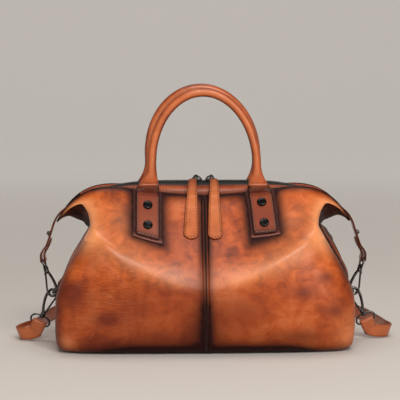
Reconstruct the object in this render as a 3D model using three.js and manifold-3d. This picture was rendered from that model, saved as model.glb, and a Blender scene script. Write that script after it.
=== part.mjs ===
// A leather handbag with winged sides, rolled handles, snap hooks and a shoulder strap.
// Millimetres, +Z up, -Y is the front, origin at the centre of the face that the bag rests on.
import * as THREE from 'three';
import { mergeVertices } from 'three/addons/utils/BufferGeometryUtils.js';
import Module from 'manifold-3d';

const wasm = await Module();
wasm.setup();

const GAP = 0.35;
const LEATHER = 2.2;
const GUSSET_LEATHER = 1.5;
const GUSSET_GAP = 0.6;
const RIDGE_POWER = 1.85;
const DROOP_POWER = 5.6;
const LAST_ROW = 13;

// One row for each section of the body, from the sole up to the mouth.
// front: the curve's middle. edge: the side seam. side: the middle of the gusset.
// square: how boxy the curve is. open: how much of its corner is left unturned at the seam.
const COLUMNS = ['frontZ', 'frontY', 'edgeX', 'edgeY', 'edgeZ', 'rise', 'square', 'open', 'sideX', 'sideZ'];
const ROWS = [
  [0.4, 84, 187, 50, 0.4, 0, 4, 0, 189, 0.4],
  [4, 92.5, 196, 57, 4, 0, 4, 0, 198, 4],
  [13, 98, 200.5, 62, 13, 0, 4, 0, 203, 13],
  [42, 104, 202, 64, 42, 0, 4, 0, 203, 42],
  [70, 104.5, 200, 62, 76, 6, 4, 0, 195.5, 72],
  [79, 103, 190.5, 57, 108, 29, 4, 0.05, 183, 103],
  [86, 101, 174.5, 50, 137, 51, 4, 0.2, 168, 131],
  [94, 97.5, 157, 43, 163, 69, 4.5, 0.41, 155, 151],
  [112, 88.5, 155.5, 40, 171, 60, 4.5, 0.54, 150, 160],
  [135, 74.5, 157, 37, 179, 52, 4, 0.58, 152, 165],
  [160, 59, 160.5, 34, 188, 47, 3.6, 0.57, 160.5, 173],
  [182, 45, 168, 29, 195.5, 44, 3, 0.52, 170, 181],
  [197, 36, 185, 22, 188, 42, 2.5, 0.43, 186, 180],
  [207, 29.5, 202, 14, 171.5, 40, 2, 0.31, 202, 167],
];
const ROW_STOPS = [0, 1, 2, 3, 4, 4.6, 5.3, 6, 6.6, 7.2, 8, 9, 10, 11, 11.6, 12.3, 13];
const HALF_PANEL_STEPS = 8;
const GUSSET_STEPS = 6;
const RIGHT_SWELL = 20;

const colours = { leather: 0xb5622f, pull: 0xd68f57, patch: 0x5a3324, metal: 0x34302f, tape: 0x1c1a1a };
const handbag = new THREE.Group();
handbag.name = 'handbag';

function addPart(name, geometry, colour) {
  const material = new THREE.MeshStandardMaterial({ color: colours[colour] });
  const mesh = new THREE.Mesh(geometry, material);
  mesh.name = name;
  handbag.add(mesh);
}

function vector(x, y, z) {
  return new THREE.Vector3(x, y, z);
}

function solid(points, triangles) {
  const geometry = new THREE.BufferGeometry();
  geometry.setAttribute('position', new THREE.Float32BufferAttribute(points.flatMap(p => [p.x, p.y, p.z]), 3));
  geometry.setIndex(triangles.flat());
  geometry.computeVertexNormals();
  return geometry;
}

function flipped(geometry) {
  const index = geometry.index.array;
  for (let i = 0; i < index.length; i += 3) {
    [index[i], index[i + 1]] = [index[i + 1], index[i]];
  }
  geometry.computeVertexNormals();
  return geometry;
}

function mirrored(geometry, axis) {
  const scale = axis === 'x' ? [-1, 1, 1] : [1, -1, 1];
  const copy = mergeVertices(plain(geometry), 1e-4);
  copy.applyMatrix4(new THREE.Matrix4().makeScale(...scale));
  return flipped(copy);
}

function plain(geometry) {
  const copy = geometry.clone();
  copy.deleteAttribute('normal');
  copy.deleteAttribute('uv');
  return copy;
}

function toManifold(geometry) {
  const merged = mergeVertices(plain(geometry), 1e-4);
  const mesh = new wasm.Mesh({
    numProp: 3,
    vertProperties: Float32Array.from(merged.attributes.position.array),
    triVerts: Uint32Array.from(merged.index.array),
  });
  return new wasm.Manifold(mesh);
}

function fromManifold(manifold) {
  const mesh = manifold.getMesh();
  const geometry = new THREE.BufferGeometry();
  geometry.setAttribute('position', new THREE.Float32BufferAttribute(mesh.vertProperties, 3));
  geometry.setIndex(Array.from(mesh.triVerts));
  geometry.computeVertexNormals();
  return geometry;
}

function fused(...geometries) {
  const bodies = geometries.map(toManifold);
  return fromManifold(bodies.reduce((all, next) => all.add(next)));
}

function bored(geometry, ...cutters) {
  const whole = toManifold(geometry);
  return fromManifold(cutters.map(toManifold).reduce((left, cutter) => left.subtract(cutter), whole));
}

// A closed tube through rings of points that run anticlockwise seen against the direction of travel.
function loft(rings) {
  const sides = rings[0].length;
  const points = rings.flat();
  const triangles = [];
  for (let r = 0; r + 1 < rings.length; r += 1) {
    for (let s = 0; s < sides; s += 1) {
      const a = r * sides + s;
      const b = r * sides + (s + 1) % sides;
      triangles.push([a, b, b + sides], [a, b + sides, a + sides]);
    }
  }
  const top = (rings.length - 1) * sides;
  for (let s = 1; s + 1 < sides; s += 1) {
    triangles.push([0, s + 1, s], [top, top + s, top + s + 1]);
  }
  return solid(points, triangles);
}

// A closed wall between two grids of points of the same size, outer one first.
function wall(outer, inner) {
  const rows = outer.length;
  const columns = outer[0].length;
  const points = [...outer.flat(), ...inner.flat()];
  const behind = rows * columns;
  const triangles = [];
  const quad = (a, b, c, d) => {
    if (points[a].distanceTo(points[c]) <= points[b].distanceTo(points[d])) {
      triangles.push([a, b, c], [a, c, d]);
    } else {
      triangles.push([a, b, d], [b, c, d]);
    }
  };
  for (let r = 0; r + 1 < rows; r += 1) {
    for (let c = 0; c + 1 < columns; c += 1) {
      const a = r * columns + c;
      quad(a, a + 1, a + columns + 1, a + columns);
      quad(behind + a, behind + a + columns, behind + a + columns + 1, behind + a + 1);
    }
  }
  for (let c = 0; c + 1 < columns; c += 1) {
    const last = (rows - 1) * columns + c;
    quad(c, behind + c, behind + c + 1, c + 1);
    quad(last, last + 1, behind + last + 1, behind + last);
  }
  for (let r = 0; r + 1 < rows; r += 1) {
    const first = r * columns;
    const last = first + columns - 1;
    quad(first, first + columns, behind + first + columns, behind + first);
    quad(last, behind + last, behind + last + columns, last + columns);
  }
  return solid(points, triangles);
}

function steps(count) {
  return Array.from({ length: count + 1 }, (_, i) => i / count);
}

function lerp(a, b, t) {
  return a + (b - a) * t;
}

function spline(p0, p1, p2, p3, t) {
  const a = 2 * p1 + (p2 - p0) * t;
  const b = (2 * p0 - 5 * p1 + 4 * p2 - p3) * t * t;
  return 0.5 * (a + b + (3 * p1 - p0 - 3 * p2 + p3) * t ** 3);
}

function sectionAt(v) {
  const row = Math.min(Math.floor(v), LAST_ROW - 1);
  const pick = i => ROWS[Math.min(Math.max(i, 0), LAST_ROW)];
  const values = COLUMNS.map((name, c) => {
    const [p0, p1, p2, p3] = [row - 1, row, row + 1, row + 2].map(i => pick(i)[c]);
    return [name, spline(p0, p1, p2, p3, v - row)];
  });
  return Object.fromEntries(values);
}

// The front wall at a share of its half width, at row v.
function frontPoint(share, v) {
  const c = sectionAt(v);
  const size = Math.min(Math.abs(share), 1);
  const bend = part => (1 - Math.min(part, 1) ** c.square) ** (1 / c.square);
  const last = Math.max(c.open, 0);
  const depth = (bend(bend(last) * size) - last) / (1 - last);
  const droop = (c.edgeZ - c.frontZ - c.rise) * size ** DROOP_POWER;
  const z = c.frontZ + c.rise * size ** RIDGE_POWER + droop;
  return vector(c.edgeX * share, -lerp(c.edgeY, c.frontY, depth), z);
}

// Steps along a section from the centre seam (0) to the side seam (1), closer together round its corner.
const CORNER_WEIGHT = 80;
const SHARE_SAMPLES = 96;
const shareTables = new Map();

function shareTable(v) {
  if (!shareTables.has(v)) {
    const shares = steps(SHARE_SAMPLES).map(u => 1 - (1 - u) ** 3);
    const points = shares.map(share => frontPoint(share, v));
    const runs = points.slice(1).map((p, i) => p.clone().sub(points[i]));
    const sums = [0];
    runs.forEach((run, i) => {
      const bend = i === 0 ? 0 : run.angleTo(runs[i - 1]);
      sums.push(sums[i] + run.length() + CORNER_WEIGHT * bend);
    });
    shareTables.set(v, { shares, sums: sums.map(sum => sum / sums[SHARE_SAMPLES]) });
  }
  return shareTables.get(v);
}

function shareAt(t, v) {
  const { shares, sums } = shareTable(v);
  const after = Math.max(1, sums.findIndex(sum => sum >= t));
  const within = (t - sums[after - 1]) / (sums[after] - sums[after - 1]);
  return lerp(shares[after - 1], shares[after], within);
}

function panelPoint(t, v) {
  return frontPoint(shareAt(t, v), v);
}

function swell(v) {
  const ease = share => THREE.MathUtils.smoothstep(share, 0, 1);
  return ease((v - 5.45) / 1.25) * (1 - ease((v - 7.5) / 1.7));
}

function gussetPoint(t, v, extra) {
  const c = sectionAt(v);
  const fold = 1 - t * t;
  const side = c.sideX + extra * swell(v);
  return vector(lerp(c.edgeX, side, fold), c.edgeY * t, lerp(c.edgeZ, c.sideZ, fold));
}

function slope(surface, t, v, direction) {
  const h = 1e-3;
  if (direction === 'v') {
    const low = surface(t, Math.max(v - h, 0));
    return surface(t, Math.min(v + h, LAST_ROW)).sub(low).normalize();
  }
  return surface(Math.min(t + h, 1), v).sub(surface(Math.max(t - h, -1), v)).normalize();
}

function outward(surface, t, v) {
  return slope(surface, t, v, 't').cross(slope(surface, t, v, 'v')).normalize();
}

// Both walls that meet at a side seam share this direction, so that their thicknesses mitre.
function mitre(v, extra) {
  const front = outward(panelPoint, 1 - 1e-3, v);
  const side = outward((t, w) => gussetPoint(t, w, extra), -1 + 1e-3, v);
  const middle = front.clone().add(side).normalize();
  return middle.divideScalar(Math.max(middle.dot(front), 0.5));
}

function halfPanel(extra, grow) {
  const outer = [];
  const inner = [];
  for (const v of ROW_STOPS) {
    const row = steps(HALF_PANEL_STEPS).map(t => panelPoint(t, v));
    const normals = steps(HALF_PANEL_STEPS).map(t => outward(panelPoint, Math.max(t, 2e-3), v));
    normals[0].setX(0).normalize();
    normals[HALF_PANEL_STEPS] = mitre(v, extra);
    const back = row.map((p, i) => p.clone().addScaledVector(normals[i], -LEATHER - grow));
    row.forEach((p, i) => p.addScaledVector(normals[i], grow));
    const seam = slope(panelPoint, 1 - 2e-3, v, 't').multiplyScalar(grow - GAP);
    for (const line of [row, back]) {
      line[0].x = GAP / 2;
      line[HALF_PANEL_STEPS].add(seam);
    }
    outer.push(row);
    inner.push(back);
  }
  return wall(outer, inner);
}

// The gusset is trimmed clear of the walls that it meets along the wing's lip.
function gusset(extra) {
  const surface = (t, v) => gussetPoint(t, v, extra);
  const outer = [];
  const inner = [];
  for (const v of ROW_STOPS) {
    const stops = steps(GUSSET_STEPS).map(s => 2 * s - 1);
    const row = stops.map(t => surface(t, v));
    const normals = stops.map(t => outward(surface, t, v));
    normals[0] = mitre(v, extra);
    normals[GUSSET_STEPS] = mitre(v, extra).multiply(vector(1, -1, 1));
    const back = row.map((p, i) => p.clone().addScaledVector(normals[i], -GUSSET_LEATHER));
    const seam = slope(surface, -1 + 2e-3, v, 't').multiplyScalar(GUSSET_GAP);
    for (const line of [row, back]) {
      line[0].add(seam);
      line[GUSSET_STEPS].add(seam.clone().multiply(vector(1, -1, 1)));
    }
    outer.push(row);
    inner.push(back);
  }
  const front = halfPanel(extra, GAP);
  const cleared = toManifold(bored(wall(outer, inner), front, mirrored(front, 'y')));
  const pieces = cleared.decompose().sort((a, b) => b.volume() - a.volume());
  return fromManifold(pieces[0]);
}

const panelRight = halfPanel(RIGHT_SWELL, 0);
const panelLeft = mirrored(halfPanel(0, 0), 'x');
addPart('front_panel_right', panelRight, 'leather');
addPart('front_panel_left', panelLeft, 'leather');
addPart('back_panel_right', mirrored(panelRight, 'y'), 'leather');
addPart('back_panel_left', mirrored(panelLeft, 'y'), 'leather');
addPart('gusset_right', gusset(RIGHT_SWELL), 'leather');
addPart('gusset_left', mirrored(gusset(0), 'x'), 'leather');

// The base: a flat slab inside the lowest section.
const BASE_THICK = 2.3;
const BASE_INSET = 1.7;

function basePanel() {
  const quarter = steps(8).map(t => panelPoint(t, 0));
  const shrink = p => new THREE.Vector2(p.x * (1 - BASE_INSET / 187), p.y * (1 - BASE_INSET / 84));
  const front = quarter.map(shrink);
  const outline = [
    ...front,
    ...front.slice().reverse().map(p => new THREE.Vector2(p.x, -p.y)),
    ...front.slice(1).map(p => new THREE.Vector2(-p.x, -p.y)),
    ...front.slice(1).reverse().map(p => new THREE.Vector2(-p.x, p.y)),
  ];
  return new THREE.ExtrudeGeometry(new THREE.Shape(outline), { depth: BASE_THICK, bevelEnabled: false });
}
addPart('base_panel', basePanel(), 'leather');

// The zip stands in the mouth: two leather bands lean in and carry the tape like a low roof.
const ZIP_REACH = 171;
const ZIP_STEPS = 14;
const BAND_THICK = 1.6;
const TAPE_THICK = 1.0;
const CHAIN_HALF = 3.2;
const CHAIN_THICK = 2.2;
const RIDGE_LIFT = 20.5;
const RIDGE_REACH = 130;
const RIDGE_SINK = 4.5;

function mouth(x) {
  return frontPoint(x / ROWS[LAST_ROW][2], LAST_ROW);
}

function ridgeLift(x) {
  return RIDGE_LIFT * Math.max(0, 1 - (x / RIDGE_REACH) ** 2) - RIDGE_SINK;
}

// A point across the mouth: span 1 is the front edge and 0 the zip; heights follow the ridge.
function roof(x, span, rise, lift) {
  const edge = mouth(x);
  return vector(x, edge.y * span, edge.z + ridgeLift(x) * rise + lift);
}

function zipBand() {
  const outer = [];
  const inner = [];
  for (const s of steps(ZIP_STEPS)) {
    const x = lerp(-ZIP_REACH, ZIP_REACH, s);
    const inset = BAND_THICK / Math.abs(mouth(x).y);
    outer.push([roof(x, 0.86, 0, -6), roof(x, 0.82, 0.1, 0), roof(x, 0.6, 0.78, 0)]);
    inner.push([roof(x, 0.86 - inset, 0, -6.5), roof(x, 0.82 - inset, 0.1, -0.9), roof(x, 0.6, 0.78, -2)]);
  }
  return flipped(wall(outer, inner));
}

function zipStrip(half, thick, lift, spans) {
  const upper = [];
  const lower = [];
  for (const s of steps(ZIP_STEPS)) {
    const x = lerp(-ZIP_REACH, ZIP_REACH, s);
    const line = spans.map(span => roof(x, half * span, lerp(0.98, 0.8, Math.abs(span)), lift));
    upper.push(line);
    lower.push(line.map(p => vector(p.x, p.y, p.z - thick)));
  }
  return wall(upper, lower);
}

function zipChain() {
  const rings = steps(ZIP_STEPS).map(s => {
    const x = lerp(-ZIP_REACH, ZIP_REACH, s);
    const z = roof(x, 0, 0.98, GAP).z;
    const profile = [[-CHAIN_HALF, 0], [CHAIN_HALF, 0], [CHAIN_HALF, 1.5], [0, CHAIN_THICK], [-CHAIN_HALF, 1.5]];
    return profile.map(([y, h]) => vector(x, y, z + h));
  });
  return loft(rings);
}

const band = zipBand();
addPart('zip_band_front', band, 'leather');
addPart('zip_band_back', mirrored(band, 'y'), 'leather');
addPart('zip_tape', zipStrip(0.575, TAPE_THICK, 0, [-1, 0, 1]), 'tape');
addPart('zip_chain', zipChain(), 'tape');

// The sliders straddle the chain, each with a bail and a loop for its pull.
const SLIDERS = [
  { name: 'left', x: -9, pullX: -15, footX: -20 },
  { name: 'right', x: 9, pullX: 13.5, footX: 13.5 },
];
const SLIDER_LONG = 13;
const LOOP_WIRE = 0.8;
const PULL_THICK = 2.6;
const PULL_TOP_THICK = 1.8;
const PULL_TOP_HALF = 5;
const PULL_FOOT_HALF = 10.8;

function tube(curve, radius, sides, count, closed) {
  const section = new THREE.Shape();
  for (let i = 0; i < sides; i += 1) {
    const angle = 2 * Math.PI * i / sides;
    const [x, y] = [radius * Math.cos(angle), radius * Math.sin(angle)];
    if (i === 0) {
      section.moveTo(x, y);
    } else {
      section.lineTo(x, y);
    }
  }
  section.closePath();
  const geometry = new THREE.ExtrudeGeometry(section, { steps: count, extrudePath: curve, bevelEnabled: false });
  return closed ? closedTube(curve, radius, sides, count) : geometry;
}

// A ring of wire with no end faces.
function closedTube(curve, radius, sides, count) {
  const frames = curve.computeFrenetFrames(count, true);
  const points = [];
  const triangles = [];
  for (let i = 0; i < count; i += 1) {
    const centre = curve.getPointAt(i / count);
    for (let s = 0; s < sides; s += 1) {
      const angle = 2 * Math.PI * s / sides;
      const p = centre.clone().addScaledVector(frames.normals[i], radius * Math.cos(angle));
      points.push(p.addScaledVector(frames.binormals[i], radius * Math.sin(angle)));
      const [a, b] = [i * sides + s, i * sides + (s + 1) % sides];
      const [c, d] = [((i + 1) % count) * sides + s, ((i + 1) % count) * sides + (s + 1) % sides];
      triangles.push([a, b, d], [a, d, c]);
    }
  }
  return solid(points, triangles);
}

function sliderTop(x) {
  return roof(x, 0, 0.98, GAP).z + CHAIN_THICK;
}

function zipSlider(x) {
  const z = sliderTop(x);
  const [inside, outside] = [CHAIN_HALF + GAP, CHAIN_HALF + 1.7];
  const profile = [
    [-outside, -1.2], [-inside, -1.2], [-inside, GAP], [inside, GAP], [inside, -1.2], [outside, -1.2],
    [outside, 1.2], [outside - 1, 2], [1 - outside, 2], [-outside, 1.2],
  ];
  const shape = new THREE.Shape(profile.map(([y, h]) => new THREE.Vector2(y, h)));
  const body = new THREE.ExtrudeGeometry(shape, { depth: SLIDER_LONG, bevelEnabled: false });
  const turn = new THREE.Matrix4().makeBasis(vector(0, 1, 0), vector(0, 0, 1), vector(1, 0, 0));
  body.applyMatrix4(turn.setPosition(x - SLIDER_LONG / 2, 0, z));
  const arch = [[-4.5, 1.2], [-4, 3.4], [-2.4, 4.9], [0, 5.3], [2.4, 4.9], [4, 3.4], [4.5, 1.2]];
  const curve = new THREE.CatmullRomCurve3(arch.map(([along, h]) => vector(x + along, 0, z + h)));
  return fused(body, tube(curve, 1, 5, 8, false));
}

// Where a pull lies: free from its ring over the mouth, then along the front wall.
function pullStations(slider) {
  const z = sliderTop(slider.x);
  const free = [[-9.5, 2.2], [-16, 1], [-23, -2.6], [-29.5, -7.2]].map(([y, h]) => ({
    centre: vector(slider.pullX, y, z + h), flat: true,
  }));
  const lying = [12.55, 12, 11.4, 10.8, 10.2, 9.75, 9.6].map(v => ({ row: v, flat: false }));
  return [...free, ...lying];
}

function onFront(x, v, lift) {
  const share = x / sectionAt(v).edgeX;
  const surface = (t, w) => frontPoint(t, w);
  return frontPoint(share, v).addScaledVector(outward(surface, share, v), lift);
}

function zipPull(slider) {
  const stations = pullStations(slider);
  const middles = stations.map((station, i) => {
    const t = i / (stations.length - 1);
    const x = lerp(slider.pullX, slider.footX, t);
    return station.flat ? station.centre.clone().setX(x) : onFront(x, station.row, GAP + PULL_THICK / 2 + 0.5);
  });
  const rings = middles.map((middle, i) => {
    const ahead = middles[Math.min(i + 1, middles.length - 1)];
    const travel = ahead.clone().sub(middles[Math.max(i - 1, 0)]).normalize();
    const across = vector(1, 0, 0);
    const up = across.clone().cross(travel).normalize();
    const t = i / (middles.length - 1);
    const round = [0.75, 1][Math.min(i, 1)] * (i === middles.length - 1 ? 0.6 : 1);
    const half = lerp(PULL_TOP_HALF, PULL_FOOT_HALF, t) * round;
    const thick = i < 2 ? PULL_TOP_THICK : PULL_THICK;
    const corners = [[1, 1], [-1, 1], [-1, -1], [1, -1]];
    return corners.map(([a, b]) => {
      return middle.clone().addScaledVector(across, a * half).addScaledVector(up, -b * thick / 2);
    });
  });
  const strip = loft(rings);
  const hole = middles[0].clone().lerp(middles[1], 0.5);
  const drill = new THREE.CylinderGeometry(2.2, 2.2, 8, 10).rotateX(Math.PI / 2 + 0.18);
  drill.translate(hole.x, hole.y, hole.z);
  return { strip: bored(strip, drill), hole };
}

// The puller's wire loop, soldered to the bail, that the pull's hole hangs on.
function pullLoop(slider, hole) {
  const from = vector(slider.x, -0.4, sliderTop(slider.x) + 5);
  const along = hole.clone().sub(from);
  const half = along.length() / 2 + 0.3;
  along.normalize();
  const across = vector(0, 0, 1).addScaledVector(along, -along.z).normalize();
  const middle = from.clone().lerp(hole, 0.5);
  const points = steps(12).slice(0, -1).map(s => {
    const angle = 2 * Math.PI * s;
    const p = middle.clone().addScaledVector(along, half * Math.cos(angle));
    return p.addScaledVector(across, 3.1 * Math.sin(angle));
  });
  return closedTube(new THREE.CatmullRomCurve3(points, true), LOOP_WIRE, 5, 12);
}

for (const slider of SLIDERS) {
  const pull = zipPull(slider);
  addPart(`zip_slider_${slider.name}`, fused(zipSlider(slider.x), pullLoop(slider, pull.hole)), 'metal');
  addPart(`zip_pull_${slider.name}`, pull.strip, 'pull');
}

// Handles: a flat tab on each patch that flares out of a rolled tube.
const TAB_X = 77.5;
const TAB_HALF = 16;
const TAB_THICK = 2.6;
const PATCH_HALF = 19.4;
const PATCH_THICK = 1.6;
const PATCH_ROWS = [9.8, 10.6, 11.4, 12.2, 12.8];
const TAB_ROWS = [10, 10.7, 11.4, 12.1, 12.65];
const TUBE_RADIUS = 6;
const ARCH_Z = 250;
const ARCH_HIGH = 97;
const HANDLE_Y = -30;
const HANDLE_SIDES = 10;
const TAB_LIFT = GAP + PATCH_THICK + GAP + TAB_THICK / 2;
const TAB_SLANT = 1.7;
const SLANT_ROW = 11.36;
const TABS = {
  '-1': { level: 0.03, patchFoot: 9.1, foot: 9.2, rivets: { upper: 11.05, lower: 9.84 } },
  1: { level: 0.16, patchFoot: 9.22, foot: 9.32, rivets: { upper: 11.26, lower: 9.9 } },
};

// The middle of a tab at row v: the right one hangs a little aslant.
function tabMiddle(side, v) {
  return side * TAB_X + (side > 0 ? TAB_SLANT * (SLANT_ROW - v) : 0);
}

// A point of a tab or its patch, away from the middle by the offset and nearer to level than the rows.
function onTab(side, offset, v, lift) {
  const level = v - side * TABS[side].level * offset / PATCH_HALF;
  return onFront(tabMiddle(side, v) + offset, level, lift);
}

function patchGrid(side, lift) {
  const rows = [TABS[side].patchFoot, ...PATCH_ROWS];
  return rows.map(v => steps(3).map(s => onTab(side, lerp(-PATCH_HALF, PATCH_HALF, s), v, lift)));
}

function handlePatch(side) {
  return wall(patchGrid(side, GAP + PATCH_THICK), patchGrid(side, GAP));
}

// A section's outline: a is along the width and b along the thickness, both from -1 to 1.
function outline(square) {
  return steps(HANDLE_SIDES).slice(0, -1).map(s => {
    const angle = 2 * Math.PI * (s + 0.5 / HANDLE_SIDES);
    const [c, d] = [Math.cos(angle), Math.sin(angle)];
    const bend = value => Math.sign(value) * Math.abs(value) ** (2 / square);
    return [bend(c), bend(d)];
  });
}

function tabRing(side, v, size) {
  const ring = outline(5);
  return ring.map(([a, b]) => onTab(side, -side * a * TAB_HALF * size, v, TAB_LIFT + b * TAB_THICK / 2));
}

function tabRings(side) {
  const { foot } = TABS[side];
  const rows = [[foot, 0.86], [foot + 0.14, 1], ...TAB_ROWS.map(v => [v, v > 12.6 ? 0.98 : 1])];
  return rows.map(([v, size]) => tabRing(side, v, size));
}

function archPoint(angle, lean) {
  const up = Math.sin(angle);
  return vector(lean.half * Math.cos(angle) + lean.x * up, HANDLE_Y, ARCH_Z + (ARCH_HIGH + lean.z) * up);
}

function flareRings(side, lean) {
  const lower = onTab(side, 0, 12.3, TAB_LIFT);
  const start = onTab(side, 0, 12.65, TAB_LIFT);
  const climb = start.clone().sub(lower).normalize();
  const end = archPoint(side > 0 ? 0 : Math.PI, lean);
  const curve = new THREE.CubicBezierCurve3(
    start, start.clone().addScaledVector(climb, 12), end.clone().add(vector(0, 0, -20)), end);
  return [0.16, 0.34, 0.52, 0.7, 0.86].map(t => {
    const ease = t * t * (3 - 2 * t);
    const [wide, thick] = [lerp(TAB_HALF, TUBE_RADIUS, ease), lerp(TAB_THICK / 2, TUBE_RADIUS, ease)];
    const centre = curve.getPoint(t);
    const normal = vector(side, 0, 0).cross(curve.getTangent(t)).multiplyScalar(side).normalize();
    return outline(lerp(4, 2, ease)).map(([a, b]) => {
      return centre.clone().add(vector(-side * a * wide, 0, 0)).addScaledVector(normal, b * thick);
    });
  });
}

function archRings(lean) {
  return steps(14).map(s => {
    const angle = Math.PI * s;
    const centre = archPoint(angle, lean);
    const across = vector(Math.cos(angle) / lean.half, 0, Math.sin(angle) / ARCH_HIGH).normalize();
    return outline(2).map(([a, b]) => {
      return centre.clone().addScaledVector(across, -a * TUBE_RADIUS).add(vector(0, -b * TUBE_RADIUS, 0));
    });
  });
}

function handle(lean) {
  const right = [...tabRings(1), ...flareRings(1, lean)];
  const left = [...tabRings(-1), ...flareRings(-1, lean)];
  return loft([...right, ...archRings(lean), ...left.reverse()]);
}

function rivet(x, v) {
  const profile = [[0, 0], [6.4, 0], [6.4, 1.6], [4.9, 2.9], [0, 3.2]];
  const cap = new THREE.LatheGeometry(profile.map(([r, h]) => new THREE.Vector2(r, h)), 10);
  const foot = onFront(x, v, TAB_LIFT + TAB_THICK / 2 + GAP + 0.1);
  const normal = onFront(x, v, 30).sub(onFront(x, v, 0)).normalize();
  cap.applyQuaternion(new THREE.Quaternion().setFromUnitVectors(vector(0, 1, 0), normal));
  return cap.translate(foot.x, foot.y, foot.z);
}

addPart('handle_front', handle({ half: 71.3, x: -2, z: 0 }), 'leather');
addPart('handle_back', mirrored(handle({ half: 78, x: -3, z: 4 }), 'y'), 'leather');
for (const [side, sign] of [['left', -1], ['right', 1]]) {
  const patch = handlePatch(sign);
  addPart(`handle_patch_front_${side}`, patch, 'patch');
  addPart(`handle_patch_back_${side}`, mirrored(patch, 'y'), 'patch');
  for (const [place, v] of Object.entries(TABS[sign].rivets)) {
    const cap = rivet(tabMiddle(sign, v), v);
    addPart(`rivet_front_${side}_${place}`, cap, 'metal');
    addPart(`rivet_back_${side}_${place}`, mirrored(cap, 'y'), 'metal');
  }
}

// Side hardware, built on the right and mirrored to the left.
const WIRE = 1.9;
const D_WIRE = 1.7;
const D_BAR = vector(198.5, 0, 81);
const D_HALF = 11;
const D_DEEP = 17;
const D_LEAN = vector(0.66, 0, -0.75).normalize();
const HOOK_LONG = 39;
const HOOK_SLIM = 0.9;
const SEAT = HOOK_LONG - WIRE - 0.5 - D_WIRE;
const EYE_WIRE = 1.35;
const EYE_HALF = 13.4;
const EYE_DEEP = 13;
const WING_HOOK_Y = -2.2;
const STRAP_HOOK_Y = 2.4;
const STRAP_WIDE = 20;
const STRAP_THICK = 2.6;
const WING_AXIS = vector(-0.26, 0, -0.966).normalize();
const STRAP_AXIS = vector(-0.42, 0, 0.908).normalize();

// A flat strip that follows a path in the XZ plane, as wide as given along Y.
function ribbon(path, thick, width, y) {
  const rings = path.map(([x, z], i) => {
    const [fromX, fromZ] = path[Math.max(i - 1, 0)];
    const [toX, toZ] = path[Math.min(i + 1, path.length - 1)];
    const run = Math.hypot(toX - fromX, toZ - fromZ);
    const [nx, nz] = [-(toZ - fromZ) / run * thick / 2, (toX - fromX) / run * thick / 2];
    const half = width / 2;
    return [
      vector(x + nx, y - half, z + nz), vector(x - nx, y - half, z - nz),
      vector(x - nx, y + half, z - nz), vector(x + nx, y + half, z + nz),
    ];
  });
  return loft(rings);
}

function dRing() {
  const side = vector(0, 1, 0);
  const arc = steps(12).map(s => {
    const angle = Math.PI * (s - 0.5);
    const reach = 4 + (D_DEEP - 4) * Math.cos(angle);
    return D_BAR.clone().addScaledVector(D_LEAN, reach).addScaledVector(side, D_HALF * Math.sin(angle));
  });
  const bar = [0.9, 0.45, 0, -0.45, -0.9].map(s => D_BAR.clone().addScaledVector(side, D_HALF * s));
  const curve = new THREE.CatmullRomCurve3([...arc, ...bar], true, 'centripetal');
  return closedTube(curve, D_WIRE, 5, 20);
}

// Local axes of a hook: axis runs from the eye to the hook's end, lean is towards its back.
function hookFrame(axis, lean, y) {
  const seat = D_BAR.clone().addScaledVector(D_LEAN, D_DEEP).setY(y);
  const origin = seat.clone().addScaledVector(axis, -SEAT);
  return (along, across, deep) => {
    const p = origin.clone().addScaledVector(axis, along).addScaledVector(lean, across);
    return p.add(vector(0, deep, 0));
  };
}

function spun(profile, place, sides) {
  const cap = new THREE.LatheGeometry(profile.map(([r, along]) => new THREE.Vector2(r, along)), sides);
  const origin = place(0, 0, 0);
  const turn = new THREE.Matrix4().makeBasis(
    place(0, 1, 0).sub(origin), place(1, 0, 0).sub(origin), place(0, 0, 1).sub(origin));
  turn.setPosition(origin);
  return cap.scale(1, 1, Math.sign(turn.determinant())).applyMatrix4(turn);
}

// The bent bar of a hook, its collar, and the post and head that turn in the eye.
function hookBody(place) {
  const bend = [[4, 1.2], [9, 3.6], [17, 6], [26, 7.4], [33, 6.6], [37.6, 3.8], [39.2, 0], [37.4, -4.2],
    [33.2, -6.7], [29.5, -7.2]];
  const curve = new THREE.CatmullRomCurve3(bend.map(([a, b]) => place(a, b * HOOK_SLIM, 0)));
  const bar = tube(curve, WIRE, 5, 13, false);
  const collar = spun([[0, -4.6], [2.9, -4.6], [2.9, -3.4], [1.3, -3.4], [1.3, 0], [3.6, 0], [3.6, 4.6],
    [2.4, 6], [0, 6]], place, 8);
  return fused(collar, bar);
}

// The gate: a straight lever from beside the collar to just short of the hook's tip.
const GATE_FOOT = [6.6, -2.4];
const GATE_END = [28.6, -6.4];

function hookGate(place) {
  const curve = new THREE.LineCurve3(place(...GATE_FOOT, 0), place(...GATE_END, 0));
  return tube(curve, 1.35, 6, 1, false);
}

// The eye: a wire loop round the strap's end, with a boss that the post turns in.
function hookEye(place, bar) {
  const point = (along, across) => place(along, 0, 0).addScaledVector(bar, across);
  const loop = [[-1.7, 0], [-2.2, 6], [-4, 11], [-7.5, EYE_HALF], [-11, EYE_HALF - 0.2], [-EYE_DEEP, 11.6],
    [-EYE_DEEP, 0]];
  const back = loop.slice(1, -1).reverse().map(([a, b]) => [a, -b]);
  const curve = new THREE.CatmullRomCurve3([...loop, ...back].map(([a, b]) => point(a, b)), true, 'centripetal');
  const wire = closedTube(curve, EYE_WIRE, 5, 18);
  const boss = spun([[0, -3.05], [3.6, -3.05], [3.6, -0.35], [0, -0.35]], place, 8);
  const bore = spun([[0, -5], [1.65, -5], [1.65, 1], [0, 1]], place, 8);
  return bored(fused(wire, boss), bore);
}

const wingPlace = hookFrame(WING_AXIS, vector(-0.966, 0, 0.26).normalize(), WING_HOOK_Y);
const strapPlace = hookFrame(STRAP_AXIS, vector(0.908, 0, 0.42).normalize(), STRAP_HOOK_Y);
const STRAP_BAR = vector(-0.908, 0, -0.42).normalize();

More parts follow.
